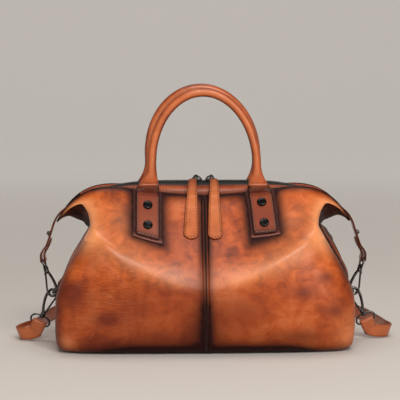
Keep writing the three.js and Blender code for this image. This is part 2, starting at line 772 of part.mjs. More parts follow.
// The tab: out of the mouth's end, over the tip, down and round the eye's bar.
function wingTab() {
  const bar = wingPlace(-EYE_DEEP, 0, 0);
  const reach = EYE_WIRE + GAP + 1.25;
  const path = [[172, 198], [182, 192.6], [191, 186.4], [199.6, 178.8], [206.2, 168], [209.8, 157],
    [213.5, 146], [217.6, 135], [bar.x + 2.6, bar.z + 9]];
  const turn = steps(6).map(s => {
    const angle = 0.25 - (Math.PI + 0.35) * s;
    return [bar.x + reach * Math.cos(angle), bar.z + reach * Math.sin(angle)];
  });
  const back = [[bar.x - 1.7, bar.z + 8.5], [214.4, 134.8], [210.6, 144.8]];
  return ribbon([...path, ...turn, ...back], 2.4, 17, WING_HOOK_Y);
}

function tabStud() {
  const profile = [[0, 0], [4, 0], [4, 1.2], [3, 1.8], [3, 3.4], [0, 4]];
  const cap = new THREE.LatheGeometry(profile.map(([r, h]) => new THREE.Vector2(r, h)), 8);
  const normal = vector(11, 0, 3.65).normalize();
  cap.applyQuaternion(new THREE.Quaternion().setFromUnitVectors(vector(0, 1, 0), normal));
  const foot = vector(211.75, WING_HOOK_Y, 151.2).addScaledVector(normal, 1.2 + GAP);
  return cap.translate(foot.x, foot.y, foot.z);
}

// The loop that holds the D-ring: down the gusset, under the bar and up again.
function sideLoop() {
  const reach = D_WIRE + GAP + 1;
  const lean = (z, lift) => {
    const rows = steps(200).map(s => lerp(3.5, 6, s));
    const v = rows.reduce((best, w) => {
      return Math.abs(sectionAt(w).sideZ - z) < Math.abs(sectionAt(best).sideZ - z) ? w : best;
    });
    const surface = (t, w) => gussetPoint(t, w, 0);
    const p = surface(0, v).addScaledVector(outward(surface, 0, v), lift);
    return [p.x, p.z];
  };
  const down = [111, 104, 96, 90].map(z => lean(z, GAP + 1.2));
  const turn = steps(7).map(s => {
    const angle = Math.PI * (1.0 + 1.12 * s);
    return [D_BAR.x + reach * Math.cos(angle), D_BAR.z + reach * Math.sin(angle)];
  });
  const up = [91, 97, 104, 110].map(z => lean(z, GAP + 1.2 + 2.3 + (z < 95 ? 0.7 : 0)));
  return ribbon([...down, ...turn, ...up], 2, 17, 0);
}

const hardware = {
  side_d_ring: [dRing(), 'metal'],
  side_loop: [sideLoop(), 'leather'],
  wing_hook: [hookBody(wingPlace), 'metal'],
  wing_gate: [hookGate(wingPlace), 'metal'],
  wing_eye: [hookEye(wingPlace, vector(0, 1, 0)), 'metal'],
  strap_hook: [hookBody(strapPlace), 'metal'],
  strap_gate: [hookGate(strapPlace), 'metal'],
  strap_eye: [hookEye(strapPlace, STRAP_BAR), 'metal'],
  wing_tab: [wingTab(), 'leather'],
  tab_stud: [tabStud(), 'metal'],
};
for (const [name, [geometry, colour]] of Object.entries(hardware)) {
  addPart(`${name}_right`, geometry, colour);
  addPart(`${name}_left`, mirrored(geometry, 'x'), colour);
}

// The shoulder strap stands on edge on the surface. Each row: place in plan, and how far it has stood up.
const STRAP_Z = STRAP_WIDE / 2 + 0.3;
const STRAP_ROUTE = [
  { x: -258, y: 6 }, { x: -255, y: 26 }, { x: -243, y: 50 }, { x: -233, y: 84 }, { x: -226, y: 128 },
  { x: -204, y: 184 }, { x: -150, y: 238 }, { x: -76, y: 268 }, { x: 0, y: 276 }, { x: 80, y: 264 },
  { x: 158, y: 230 }, { x: 217, y: 178 }, { x: 244, y: 122 }, { x: 254, y: 74 }, { x: 260, y: 36 },
  { x: 262, y: 8 },
];
const STRAP_RUN_STEPS = 38;

// The end of the strap round an eye's bar on one side: the short fold first, then the long layer.
function strapEnd(side) {
  const flip = vector(side, 1, 1);
  const bar = strapPlace(-EYE_DEEP, 0, 0).multiply(flip);
  const wide = STRAP_BAR.clone().multiply(flip);
  const travel = STRAP_AXIS.clone().multiply(flip).negate();
  const lift = vector(0, -1, 0);
  const reach = EYE_WIRE + GAP + 0.1 + STRAP_THICK / 2;
  const at = (along, up) => bar.clone().addScaledVector(travel, along).addScaledVector(lift, up);
  const close = STRAP_THICK / 2 + 0.25;
  const fold = [at(20, -close), at(13, -close - 0.3), at(6, -close - 1.1)];
  const turn = steps(6).map(s => {
    const angle = -Math.PI / 2 - Math.PI * s;
    return at(reach * Math.cos(angle), reach * Math.sin(angle));
  });
  const leave = [at(6, close + 1.1), at(12, close + 0.4)];
  return [...fold, ...turn, ...leave].map(centre => ({ centre, wide: wide.clone() }));
}

function strapStations() {
  const left = strapEnd(-1);
  const right = strapEnd(1);
  const start = left[left.length - 1].centre;
  const finish = right[right.length - 1].centre;
  const upright = STRAP_ROUTE.map(({ x, y }) => vector(x, y, STRAP_Z));
  const dip = (from, to) => from.clone().lerp(to, 0.5).add(vector(0, -3.5, -0.8));
  const path = [start, dip(start, upright[0]), ...upright, dip(finish, upright[upright.length - 1]), finish];
  const curve = new THREE.CatmullRomCurve3(path, false, 'centripetal');
  const down = vector(0, 0, -1);
  const run = steps(STRAP_RUN_STEPS).slice(1, -1).map(s => {
    const centre = curve.getPointAt(s);
    const length = curve.getLength();
    const stood = distance => Math.min(1, distance / 46) ** 0.8;
    const nearLeft = s < 0.5;
    const share = stood((nearLeft ? s : 1 - s) * length);
    const origin = nearLeft ? left[0].wide : right[0].wide;
    const wide = origin.clone().multiplyScalar(Math.sign(origin.dot(down))).lerp(down, share).normalize();
    return { centre, wide };
  });
  for (const end of [...left, ...right]) {
    end.wide.multiplyScalar(Math.sign(end.wide.dot(down)));
  }
  return [...left, ...run, ...right.reverse()];
}

function shoulderStrap() {
  const stations = strapStations();
  const rings = stations.map(({ centre, wide }, i) => {
    const before = stations[Math.max(i - 1, 0)].centre;
    const travel = stations[Math.min(i + 1, stations.length - 1)].centre.clone().sub(before).normalize();
    const thick = travel.clone().cross(wide).normalize();
    const across = thick.clone().cross(travel).normalize();
    const corners = [[1, 1], [-1, 1], [-1, -1], [1, -1]];
    return corners.map(([a, b]) => {
      const p = centre.clone().addScaledVector(across, a * STRAP_WIDE / 2);
      return p.addScaledVector(thick, b * STRAP_THICK / 2);
    });
  });
  return loft(rings);
}
addPart('shoulder_strap', shoulderStrap(), 'leather');

export default handbag;
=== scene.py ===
# %% [markdown]
# # A winged leather handbag
# The bag is a soft box of waxed leather. Its lower half stands full and square, its upper half leans in
# to a zipped mouth, and the two ends of the mouth fold out into wings that are hooked down at the sides.
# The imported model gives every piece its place. Here each piece is made again with a finer surface, in
# metres and in the same frame, and gets the finish that the real one has.

# %% Load the frame
import math

import bpy
import numpy as np
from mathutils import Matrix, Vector


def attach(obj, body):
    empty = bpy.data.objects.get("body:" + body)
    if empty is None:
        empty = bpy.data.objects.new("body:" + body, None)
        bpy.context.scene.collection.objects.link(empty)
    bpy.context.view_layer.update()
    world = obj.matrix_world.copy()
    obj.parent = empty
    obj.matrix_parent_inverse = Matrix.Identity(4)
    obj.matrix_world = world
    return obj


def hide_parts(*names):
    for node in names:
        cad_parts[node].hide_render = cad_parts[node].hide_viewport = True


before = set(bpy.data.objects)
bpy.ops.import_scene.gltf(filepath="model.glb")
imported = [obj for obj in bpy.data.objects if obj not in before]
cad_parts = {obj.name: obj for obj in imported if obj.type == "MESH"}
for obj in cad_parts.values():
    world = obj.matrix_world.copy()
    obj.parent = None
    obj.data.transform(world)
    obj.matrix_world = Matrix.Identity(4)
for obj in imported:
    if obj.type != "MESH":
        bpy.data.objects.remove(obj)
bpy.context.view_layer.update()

# %% [markdown]
# ## Camera
# The bag is seen from the front, from a little above and a hair to the left. A long lens keeps the
# upright lines upright, so the camera stands almost two metres away.

# %% Camera
AIM = Vector((0.0, 0.0, 0.197))
CAMERA_TURN = math.radians(-2.0)
CAMERA_RISE = math.radians(6.5)
CAMERA_AWAY = 1.9
LENS_MM = 123.4
SENSOR_MM = 36.0
SIDE_SHIFT = -0.009

lens = bpy.data.cameras.new("camera")
lens.lens = LENS_MM
lens.sensor_width = SENSOR_MM
lens.shift_x = SIDE_SHIFT
camera = bpy.data.objects.new("camera", lens)
towards = Vector((math.sin(CAMERA_TURN) * math.cos(CAMERA_RISE),
                  -math.cos(CAMERA_TURN) * math.cos(CAMERA_RISE),
                  math.sin(CAMERA_RISE)))
camera.location = AIM + towards * CAMERA_AWAY
camera.rotation_euler = (-towards).to_track_quat("-Z", "Y").to_euler()
bpy.context.scene.collection.objects.link(camera)
bpy.context.scene.camera = camera
print("camera height:", round(camera.location.z, 3), "m")

# %% [markdown]
# ## Floor and light
# The bag stands in a wide pale bowl: a flat floor that curves up all round, so no corner shows from any
# side. Its far parts glow a little, more behind than in front, and give an even backdrop. Leather looks
# right under large soft lamps. A wide one above the front gives the long highlights along the ridge and
# the handles, one overhead lights the top, a tall box shapes the right flank, and a faint strip keeps the
# turned-in left side from going black.

# %% Floor and light
BOWL_FLOOR, BOWL_BEND, BOWL_TOP = 3.3, 1.2, 4.5
BOWL_SIDES, FLOOR_STEPS, BEND_STEPS = 64, 10, 12
GLOW_START, GLOW_END = 0.7, 2.5
GLOW_FRONT, GLOW_BACK = 0.11, 0.25
PAPER = (0.62, 0.59, 0.56, 1)
ROOM_TINT, ROOM_STRENGTH = (0.9, 0.88, 0.85, 1), 0.08
LAMP_AIM = Vector((0, 0, 0.16))
# Each lamp has a name, a place, a size across and up, a power and a tint.
LAMPS = [
    ("key", (0.25, -1.7, 1.8), (1.5, 0.5), 32, (1.0, 0.96, 0.91)),
    ("overhead", (0.0, 0.25, 2.0), (1.6, 0.8), 14, (1.0, 0.97, 0.93)),
    ("left_strip", (-1.3, -1.7, 0.5), (0.2, 1.4), 1.8, (1.0, 0.95, 0.9)),
    ("right_box", (0.85, -1.9, 0.75), (0.22, 1.2), 10, (1.0, 0.95, 0.9)),
]


def light_panel(name, place, size, power, tint):
    data = bpy.data.lights.new(name, "AREA")
    data.shape = "RECTANGLE"
    data.size, data.size_y = size
    data.energy = power
    data.color = tint
    lamp = bpy.data.objects.new(name, data)
    lamp.location = place
    lamp.rotation_euler = (LAMP_AIM - Vector(place)).to_track_quat("-Z", "Y").to_euler()
    bpy.context.scene.collection.objects.link(lamp)


def studio_bowl():
    profile = [(BOWL_FLOOR * step / FLOOR_STEPS, 0.0) for step in range(1, FLOOR_STEPS + 1)]
    for step in range(1, BEND_STEPS + 1):
        angle = math.pi / 2 * step / BEND_STEPS
        profile.append((BOWL_FLOOR + BOWL_BEND * math.sin(angle), BOWL_BEND * (1 - math.cos(angle))))
    profile.append((BOWL_FLOOR + BOWL_BEND, BOWL_TOP))
    turns = [2 * math.pi * step / BOWL_SIDES for step in range(BOWL_SIDES)]
    points = [(0.0, 0.0, 0.0)] + [(r * math.cos(a), r * math.sin(a), z) for r, z in profile for a in turns]
    faces = [(0, 1 + step, 1 + (step + 1) % BOWL_SIDES) for step in range(BOWL_SIDES)]
    for ring in range(len(profile) - 1):
        for step in range(BOWL_SIDES):
            low, near = 1 + ring * BOWL_SIDES, (step + 1) % BOWL_SIDES
            faces.append((low + step, low + BOWL_SIDES + step, low + BOWL_SIDES + near, low + near))
    mesh = bpy.data.meshes.new("studio_bowl")
    mesh.from_pydata(points, [], faces)
    mesh.shade_smooth()
    glow = mesh.attributes.new("glow", "FLOAT_COLOR", "POINT")
    for spot, (x, y, z) in zip(glow.data, points):
        far = min(max((math.hypot(x, y) - GLOW_START) / (GLOW_END - GLOW_START), 0), 1)
        light = far * (GLOW_FRONT + (GLOW_BACK - GLOW_FRONT) * (0.5 + 0.5 * y / max(math.hypot(x, y), 0.1)))
        spot.color = (light, 0.96 * light, 0.92 * light, 1)
    return mesh


def paper_stage(mesh):
    bowl = bpy.data.objects.new("studio_bowl", mesh)
    paper = bpy.data.materials.new("pale_paper")
    paper.use_nodes = True
    shader = paper.node_tree.nodes["Principled BSDF"]
    shader.inputs["Base Color"].default_value = PAPER
    shader.inputs["Roughness"].default_value = 0.9
    shader.inputs["Emission Strength"].default_value = 1.0
    shine = paper.node_tree.nodes.new("ShaderNodeAttribute")
    shine.attribute_name = "glow"
    paper.node_tree.links.new(shine.outputs["Color"], shader.inputs["Emission Color"])
    mesh.materials.append(paper)
    bpy.context.scene.collection.objects.link(bowl)


paper_stage(studio_bowl())
for row in LAMPS:
    light_panel(*row)
world = bpy.data.worlds.new("soft_room")
bpy.context.scene.world = world
world.use_nodes = True
sky = world.node_tree.nodes["Background"]
sky.inputs["Color"].default_value = ROOM_TINT
sky.inputs["Strength"].default_value = ROOM_STRENGTH
bpy.context.scene.view_settings.view_transform = "Standard"
bpy.context.scene.view_settings.look = "None"
print("floor and", len(bpy.data.lights), "lamps")

# %% [markdown]
# ## Building blocks for materials
# A material is a small net of nodes. `put` makes one node, sets it up and plugs other nodes' outputs into
# it. `new_group` makes a node group: a net with named sockets that several materials can share.

# %% Node helpers
COLOUR_MIX_A, COLOUR_MIX_B, COLOUR_MIX_OUT = 6, 7, 2


def put(tree, kind, plugs=None, **settings):
    made = tree.nodes.new(kind)
    for name, value in settings.items():
        setattr(made, name, value)
    for key, value in (plugs or {}).items():
        if isinstance(value, bpy.types.NodeSocket):
            tree.links.new(value, made.inputs[key])
        else:
            made.inputs[key].default_value = value
    return made


def maths(tree, operation, first, second=0.0, clamp=False):
    return put(tree, "ShaderNodeMath", {0: first, 1: second}, operation=operation, use_clamp=clamp).outputs[0]


def mix_colour(tree, share, first, second):
    plugs = {0: share, COLOUR_MIX_A: first, COLOUR_MIX_B: second}
    return put(tree, "ShaderNodeMix", plugs, data_type="RGBA").outputs[COLOUR_MIX_OUT]


def span(tree, value, low, high, to_low=0.0, to_high=1.0):
    made = put(tree, "ShaderNodeMapRange", {0: value, 1: low, 2: high, 3: to_low, 4: to_high},
               interpolation_type="SMOOTHSTEP")
    return made.outputs[0]


def mark(tree, name):
    return put(tree, "ShaderNodeAttribute", attribute_name=name).outputs["Fac"]


def places(tree, stretch=(1, 1, 1)):
    where = put(tree, "ShaderNodeTexCoord").outputs["Object"]
    return put(tree, "ShaderNodeMapping", {"Vector": where, "Scale": stretch}).outputs["Vector"]


def noise(tree, vector, scale, detail=2.0, roughness=0.5, distortion=0.0):
    made = put(tree, "ShaderNodeTexNoise", {"Vector": vector, "Scale": scale, "Detail": detail,
                                            "Roughness": roughness, "Distortion": distortion})
    return made.outputs[0]


def new_group(name, sockets_in, sockets_out):
    tree = bpy.data.node_groups.new(name, "ShaderNodeTree")
    for label, value in sockets_in.items():
        kind = "NodeSocketFloat" if isinstance(value, float) else "NodeSocketColor"
        tree.interface.new_socket(name=label, in_out="INPUT", socket_type=kind).default_value = value
    for label, kind in sockets_out.items():
        tree.interface.new_socket(name=label, in_out="OUTPUT", socket_type=kind)
    return tree, tree.nodes.new("NodeGroupInput").outputs, tree.nodes.new("NodeGroupOutput").inputs


def place_group(tree, group, values):
    made = tree.nodes.new("ShaderNodeGroup")
    made.node_tree = group
    for key, value in values.items():
        made.inputs[key].default_value = value
    return made.outputs


def new_material(name):
    material = bpy.data.materials.new(name)
    material.use_nodes = True
    return material, material.node_tree, material.node_tree.nodes["Principled BSDF"]


print("node helpers ready")

# %% [markdown]
# ## Leather, in three shared effects
# Waxed leather that is rubbed by hand has a patina: soft blotches of deeper and paler brown, a pale bloom
# where it is stretched over a ridge, and a dark burnish that the maker wipes along seams and edges. The same
# pale and dark marks also paint light: highlights on ridges, lips and the fronts of the handles, and shade in
# hollows, creases, at the foot of the bag and on the sides of round parts. A picture of leather would not
# wrap round these shapes, so the pattern is worked out in space instead. The meshes carry marks, one number
# for each point, that say where burnish and painted shade, rubbing and painted highlights, stains and creases
# lie, and the groups break those marks up with noise so that no border looks drawn.

# %% Patina group
patina, given, out = new_group(
    "patina",
    {"Base": (0.5, 0.2, 0.07, 1), "Deep": (0.3, 0.1, 0.03, 1), "Pale": (0.7, 0.36, 0.16, 1),
     "Burnt and shade": (0.05, 0.02, 0.015, 1), "Mottle": 1.0},
    {"Color": "NodeSocketColor", "Tone": "NodeSocketFloat", "Polish": "NodeSocketFloat"})
clouds = noise(patina, places(patina), 11.0, 4.0, 0.55, 0.5)
patches = noise(patina, places(patina, (1.0, 1.0, 1.3)), 42.0, 4.0, 0.62, 0.8)
streaks = noise(patina, places(patina, (1.4, 1.4, 0.35)), 55.0, 2.0)
tone = maths(patina, "ADD", maths(patina, "MULTIPLY", clouds, 0.48), maths(patina, "MULTIPLY", patches, 0.4))
tone = maths(patina, "ADD", tone, maths(patina, "MULTIPLY", streaks, 0.12))
deepen = maths(patina, "MULTIPLY", span(patina, tone, 0.57, 0.36), given["Mottle"])
colour = mix_colour(patina, deepen, given["Base"], given["Deep"])
lighten = maths(patina, "MULTIPLY", span(patina, tone, 0.5, 0.68), given["Mottle"])
colour = mix_colour(patina, maths(patina, "MULTIPLY", lighten, 0.4), colour, given["Pale"])
broken = maths(patina, "ADD", maths(patina, "MULTIPLY", patches, 0.7), 0.65)
stained = maths(patina, "MULTIPLY", mark(patina, "stain"), broken, clamp=True)
colour = mix_colour(patina, stained, colour, given["Deep"])
# The pale colour goes in for real rubbing and for painted highlights.
rubbed_and_lit = maths(patina, "MULTIPLY", mark(patina, "rub_and_highlight"), broken, clamp=True)
colour = mix_colour(patina, rubbed_and_lit, colour, given["Pale"])
# The dark colour goes in for real burnish and for painted shade.
wiped_and_shaded = maths(patina, "MULTIPLY", mark(patina, "burnish_and_shade"), maths(patina, "ADD", broken, 0.12), clamp=True)
patina.links.new(mix_colour(patina, wiped_and_shaded, colour, given["Burnt and shade"]), out["Color"])
patina.links.new(tone, out["Tone"])
polish = maths(patina, "MULTIPLY", maths(patina, "SUBTRACT", 1.0, wiped_and_shaded), maths(patina, "ADD", rubbed_and_lit, 1.0))
patina.links.new(polish, out["Polish"])
print("patina group:", len(patina.nodes), "nodes")

# %% [markdown]
# The grain is what the fingers feel: fine pebbles all over, a little noise between them, and short creases
# that run across the stretch where the side of the bag has been sat against and folded.

# %% Grain group
grain, given, out = new_group(
    "grain", {"Pebbles per metre": 620.0, "Pebble depth": 0.5, "Crease depth": 1.0},
    {"Height": "NodeSocketFloat", "Pore": "NodeSocketFloat"})
pebbles = put(grain, "ShaderNodeTexVoronoi", {"Vector": places(grain), "Scale": given["Pebbles per metre"]},
              feature="SMOOTH_F1").outputs["Distance"]
fine = noise(grain, places(grain), 900.0, 2.0)
patchy = span(grain, noise(grain, places(grain), 26.0, 2.0), 0.35, 0.65, 0.35, 1.0)
relief = maths(grain, "MULTIPLY", maths(grain, "SUBTRACT", 1.0, pebbles), given["Pebble depth"])
relief = maths(grain, "MULTIPLY", relief, patchy)
relief = maths(grain, "ADD", relief, maths(grain, "MULTIPLY", fine, 0.18))
wander = noise(grain, places(grain, (0.32, 0.32, 1.9)), 130.0, 3.0, 0.55, 0.6)
lines = maths(grain, "ABSOLUTE", maths(grain, "SUBTRACT", wander, 0.5))
lines = span(grain, lines, 0.0, 0.07)
creased = maths(grain, "MULTIPLY", mark(grain, "crease"), given["Crease depth"])
fold = maths(grain, "MULTIPLY", maths(grain, "SUBTRACT", lines, 1.0), creased)
grain.links.new(maths(grain, "ADD", relief, fold), out["Height"])
grain.links.new(maths(grain, "MULTIPLY", pebbles, patchy), out["Pore"])
print("grain group:", len(grain.nodes), "nodes")

# %% [markdown]
# A cut edge of leather is sealed with dark wax and polished, and a raised edge loses a little of its colour
# again with wear. The mark `rim` is 1 on those edges.

# %% Edge group
edge_wax, given, out = new_group(
    "edge_wax", {"Color": (0.5, 0.2, 0.07, 1), "Wax": (0.05, 0.02, 0.015, 1), "Strength": 0.8},
    {"Color": "NodeSocketColor", "Mask": "NodeSocketFloat"})
worn = span(edge_wax, noise(edge_wax, places(edge_wax), 240.0, 3.0), 0.3, 0.6)
waxed = maths(edge_wax, "MULTIPLY", mark(edge_wax, "rim"), given["Strength"])
fading = maths(edge_wax, "ADD", maths(edge_wax, "MULTIPLY", worn, 0.4), 0.6)
waxed = maths(edge_wax, "MULTIPLY", waxed, fading)
edge_wax.links.new(mix_colour(edge_wax, waxed, given["Color"], given["Wax"]), out["Color"])
edge_wax.links.new(waxed, out["Mask"])
print("edge group:", len(edge_wax.nodes), "nodes")

# %% Leather materials
# The dark colour of burnish and edge wax; the patina also paints shade with it.
BURNT_AND_SHADE = (0.02, 0.0045, 0.004, 1)
PEBBLES_PER_METRE, CREASE_DEPTH = 620.0, 2.0


def leather(name, base, deep, pale, mottle, pebble_depth, roughness, wax, coat, coat_roughness):
    material, tree, shader = new_material(name)
    tint = place_group(tree, patina, {"Base": base, "Deep": deep, "Pale": pale, "Burnt and shade": BURNT_AND_SHADE,
                                      "Mottle": mottle})
    skin = place_group(tree, grain, {"Pebbles per metre": PEBBLES_PER_METRE, "Pebble depth": pebble_depth,
                                     "Crease depth": CREASE_DEPTH})
    edge = place_group(tree, edge_wax, {"Wax": BURNT_AND_SHADE, "Strength": wax})
    tree.links.new(tint["Color"], edge[0].node.inputs["Color"])
    tree.links.new(edge["Color"], shader.inputs["Base Color"])
    gloss = maths(tree, "ADD", maths(tree, "MULTIPLY", tint["Tone"], 0.3), roughness - 0.15)
    gloss = maths(tree, "ADD", gloss, maths(tree, "MULTIPLY", skin["Pore"], 0.12))
    tree.links.new(gloss, shader.inputs["Roughness"])
    bump = put(tree, "ShaderNodeBump", {"Height": skin["Height"], "Strength": 0.6, "Distance": 0.0007})
    tree.links.new(bump.outputs["Normal"], shader.inputs["Normal"])
    tree.links.new(maths(tree, "MULTIPLY", tint["Polish"], coat), shader.inputs["Coat Weight"])
    shader.inputs["Specular IOR Level"].default_value = 0.1
    shader.inputs["Coat Roughness"].default_value = coat_roughness
    return material


body_leather = leather(
    "cognac_leather", base=(0.56, 0.1, 0.0125, 1), deep=(0.18, 0.022, 0.0035, 1), pale=(0.88, 0.32, 0.12, 1),
    mottle=1.0, pebble_depth=0.6, roughness=0.38, wax=0.6, coat=0.42, coat_roughness=0.33)
handle_leather = leather(
    "handle_leather", base=(0.56, 0.11, 0.02, 1), deep=(0.22, 0.029, 0.006, 1), pale=(0.72, 0.22, 0.07, 1),
    mottle=0.8, pebble_depth=0.3, roughness=0.3, wax=0.8, coat=0.8, coat_roughness=0.3)
pull_leather = leather(
    "pull_leather", base=(0.55, 0.135, 0.032, 1), deep=(0.34, 0.07, 0.014, 1), pale=(0.7, 0.21, 0.06, 1),
    mottle=0.9, pebble_depth=0.6, roughness=0.4, wax=0.85, coat=0.25, coat_roughness=0.36)
patch_leather = leather(
    "patch_leather", base=(0.11, 0.021, 0.012, 1), deep=(0.05, 0.01, 0.007, 1), pale=(0.3, 0.075, 0.045, 1),
    mottle=0.8, pebble_depth=0.5, roughness=0.36, wax=0.7, coat=0.3, coat_roughness=0.34)
print("leathers:", [m.name for m in bpy.data.materials if "leather" in m.name])

# %% [markdown]
# ## Metal, zip and thread
# The hooks, rings and rivets are dark gunmetal: a polished metal under a thin black plating that has worn
# bright in places. The rivets are blacker than the hooks. The zip is black woven tape with moulded teeth.
# The thread is dark and waxed, and has worn pale on the tabs of the handles.

# %% Wear group, metal, zip and thread
plating_wear, given, out = new_group(
    "plating_wear",
    {"Plating": (0.03, 0.03, 0.03, 1), "Metal": (0.4, 0.38, 0.36, 1), "Wear": 0.3, "Polish": 0.25},
    {"Color": "NodeSocketColor", "Roughness": "NodeSocketFloat", "Height": "NodeSocketFloat"})
rubs = noise(plating_wear, places(plating_wear), 320.0, 4.0, 0.65)
scratches = noise(plating_wear, places(plating_wear, (1.0, 0.2, 1.0)), 1500.0, 2.0)
bare = maths(plating_wear, "MULTIPLY", span(plating_wear, rubs, 0.52, 0.72), given["Wear"])
plating_wear.links.new(mix_colour(plating_wear, bare, given["Plating"], given["Metal"]), out["Color"])
dull = maths(plating_wear, "ADD", given["Polish"], maths(plating_wear, "MULTIPLY", scratches, 0.16))
plating_wear.links.new(dull, out["Roughness"])
plating_wear.links.new(scratches, out["Height"])


def plated(name, plating, metal, wear, polish, metallic):
    material, tree, shader = new_material(name)
    skin = place_group(tree, plating_wear, {"Plating": plating, "Metal": metal, "Wear": wear,
                                            "Polish": polish})
    tree.links.new(skin["Color"], shader.inputs["Base Color"])
    tree.links.new(skin["Roughness"], shader.inputs["Roughness"])
    shader.inputs["Metallic"].default_value = metallic
    bump = put(tree, "ShaderNodeBump", {"Height": skin["Height"], "Strength": 0.15, "Distance": 0.0001})
    tree.links.new(bump.outputs["Normal"], shader.inputs["Normal"])
    return material


gunmetal = plated("gunmetal", plating=(0.075, 0.072, 0.07, 1), metal=(0.46, 0.44, 0.42, 1),
                  wear=0.45, polish=0.12, metallic=1.0)
rivet_black = plated("rivet_black", plating=(0.02, 0.019, 0.019, 1), metal=(0.3, 0.28, 0.26, 1),
                     wear=0.25, polish=0.14, metallic=1.0)
tooth_black = plated("tooth_black", plating=(0.02, 0.019, 0.019, 1), metal=(0.09, 0.085, 0.08, 1),
                     wear=0.4, polish=0.34, metallic=0.0)


def woven_tape():
    material, tree, shader = new_material("zip_tape_weave")
    along = put(tree, "ShaderNodeTexWave", {"Vector": places(tree), "Scale": 380.0}, bands_direction="X")
    across = put(tree, "ShaderNodeTexWave", {"Vector": places(tree), "Scale": 380.0}, bands_direction="Y")
    weave = maths(tree, "MULTIPLY", along.outputs["Fac"], across.outputs["Fac"])
    fuzz = noise(tree, places(tree), 160.0, 2.0)
    shade = maths(tree, "MULTIPLY", maths(tree, "ADD", weave, fuzz), 0.5)
    colour = mix_colour(tree, shade, (0.006, 0.006, 0.006, 1), (0.026, 0.024, 0.023, 1))
    tree.links.new(colour, shader.inputs["Base Color"])
    tree.links.new(maths(tree, "ADD", maths(tree, "MULTIPLY", fuzz, 0.2), 0.65), shader.inputs["Roughness"])
    bump = put(tree, "ShaderNodeBump", {"Height": weave, "Strength": 0.5, "Distance": 0.0003})
    tree.links.new(bump.outputs["Normal"], shader.inputs["Normal"])
    return material


def waxed_thread(name, dark, light):
    material, tree, shader = new_material(name)
    twist = put(tree, "ShaderNodeTexWave", {"Vector": places(tree), "Scale": 900.0, "Distortion": 1.0},
                bands_direction="DIAGONAL").outputs["Fac"]
    colour = mix_colour(tree, twist, dark, light)
    tree.links.new(colour, shader.inputs["Base Color"])
    tree.links.new(maths(tree, "ADD", maths(tree, "MULTIPLY", twist, 0.15), 0.35), shader.inputs["Roughness"])
    bump = put(tree, "ShaderNodeBump", {"Height": twist, "Strength": 0.4, "Distance": 0.0002})
    tree.links.new(bump.outputs["Normal"], shader.inputs["Normal"])
    return material


zip_tape_weave = woven_tape()
thread = waxed_thread("waxed_thread", (0.012, 0.005, 0.004, 1), (0.04, 0.015, 0.01, 1))
worn_thread = waxed_thread("worn_thread", (0.14, 0.07, 0.05, 1), (0.32, 0.2, 0.15, 1))
print("materials:", len(bpy.data.materials))

# %% [markdown]
# ## Ways to make a mesh
# All points are worked out in millimetres with numpy and turned into metres once, in `add_piece`. Three
# shapes cover almost everything: a *shell* is a sheet of leather with a thickness and a rounded edge, a
# *loft* joins rings of points, and a *tube* is a loft whose rings are circles round a bent wire.

# %% Mesh helpers
MM = 0.001
RIGHTWARD = np.array([1.0, 0.0, 0.0])
BACKWARD = np.array([0.0, 1.0, 0.0])
TO_BACK = np.array([1.0, -1.0, 1.0])


def unit(vectors):
    return vectors / np.maximum(np.linalg.norm(vectors, axis=-1, keepdims=True), 1e-9)


def distance(line):
    """How far along the line each of its points lies."""
    return np.concatenate([[0], np.cumsum(np.linalg.norm(np.diff(line, axis=0), axis=1))])


def sampled(values, gone, stops):
    """Rows of values that are known at the distances `gone`, read off at the stops."""
    return np.stack([np.interp(stops, gone, column) for column in values.T], axis=1)


def add_piece(name, points, faces, material, slot, stands_for=(), body="bag", marks=None):
    mesh = bpy.data.meshes.new(name)
    mesh.from_pydata((np.asarray(points, float) * MM).tolist(), [], faces)
    mesh.shade_smooth()
    for label, values in (marks or {}).items():
        layer = mesh.attributes.new(label, "FLOAT", "POINT")
        layer.data.foreach_set("value", np.asarray(values, np.float32))
    mesh.materials.append(material)
    piece = bpy.data.objects.new(name, mesh)
    bpy.context.scene.collection.objects.link(piece)
    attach(piece, body)
    if stands_for:
        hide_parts(*stands_for)
    return piece


def joined(*parts):
    points, faces, start = [], [], 0
    for some_points, some_faces in parts:
        points.append(np.asarray(some_points, float).reshape(-1, 3))
        faces += [tuple(i + start for i in face) for face in some_faces]
        start += len(points[-1])
    return np.concatenate(points), faces


def mirrored(part, axis):
    points, faces = part
    flip = np.ones(3)
    flip["xyz".index(axis)] = -1
    return np.asarray(points) * flip, [tuple(reversed(face)) for face in faces]


def grid_normals(points):
    along = np.gradient(points, axis=1)
    up = np.gradient(points, axis=0)
    return unit(np.cross(along, up))


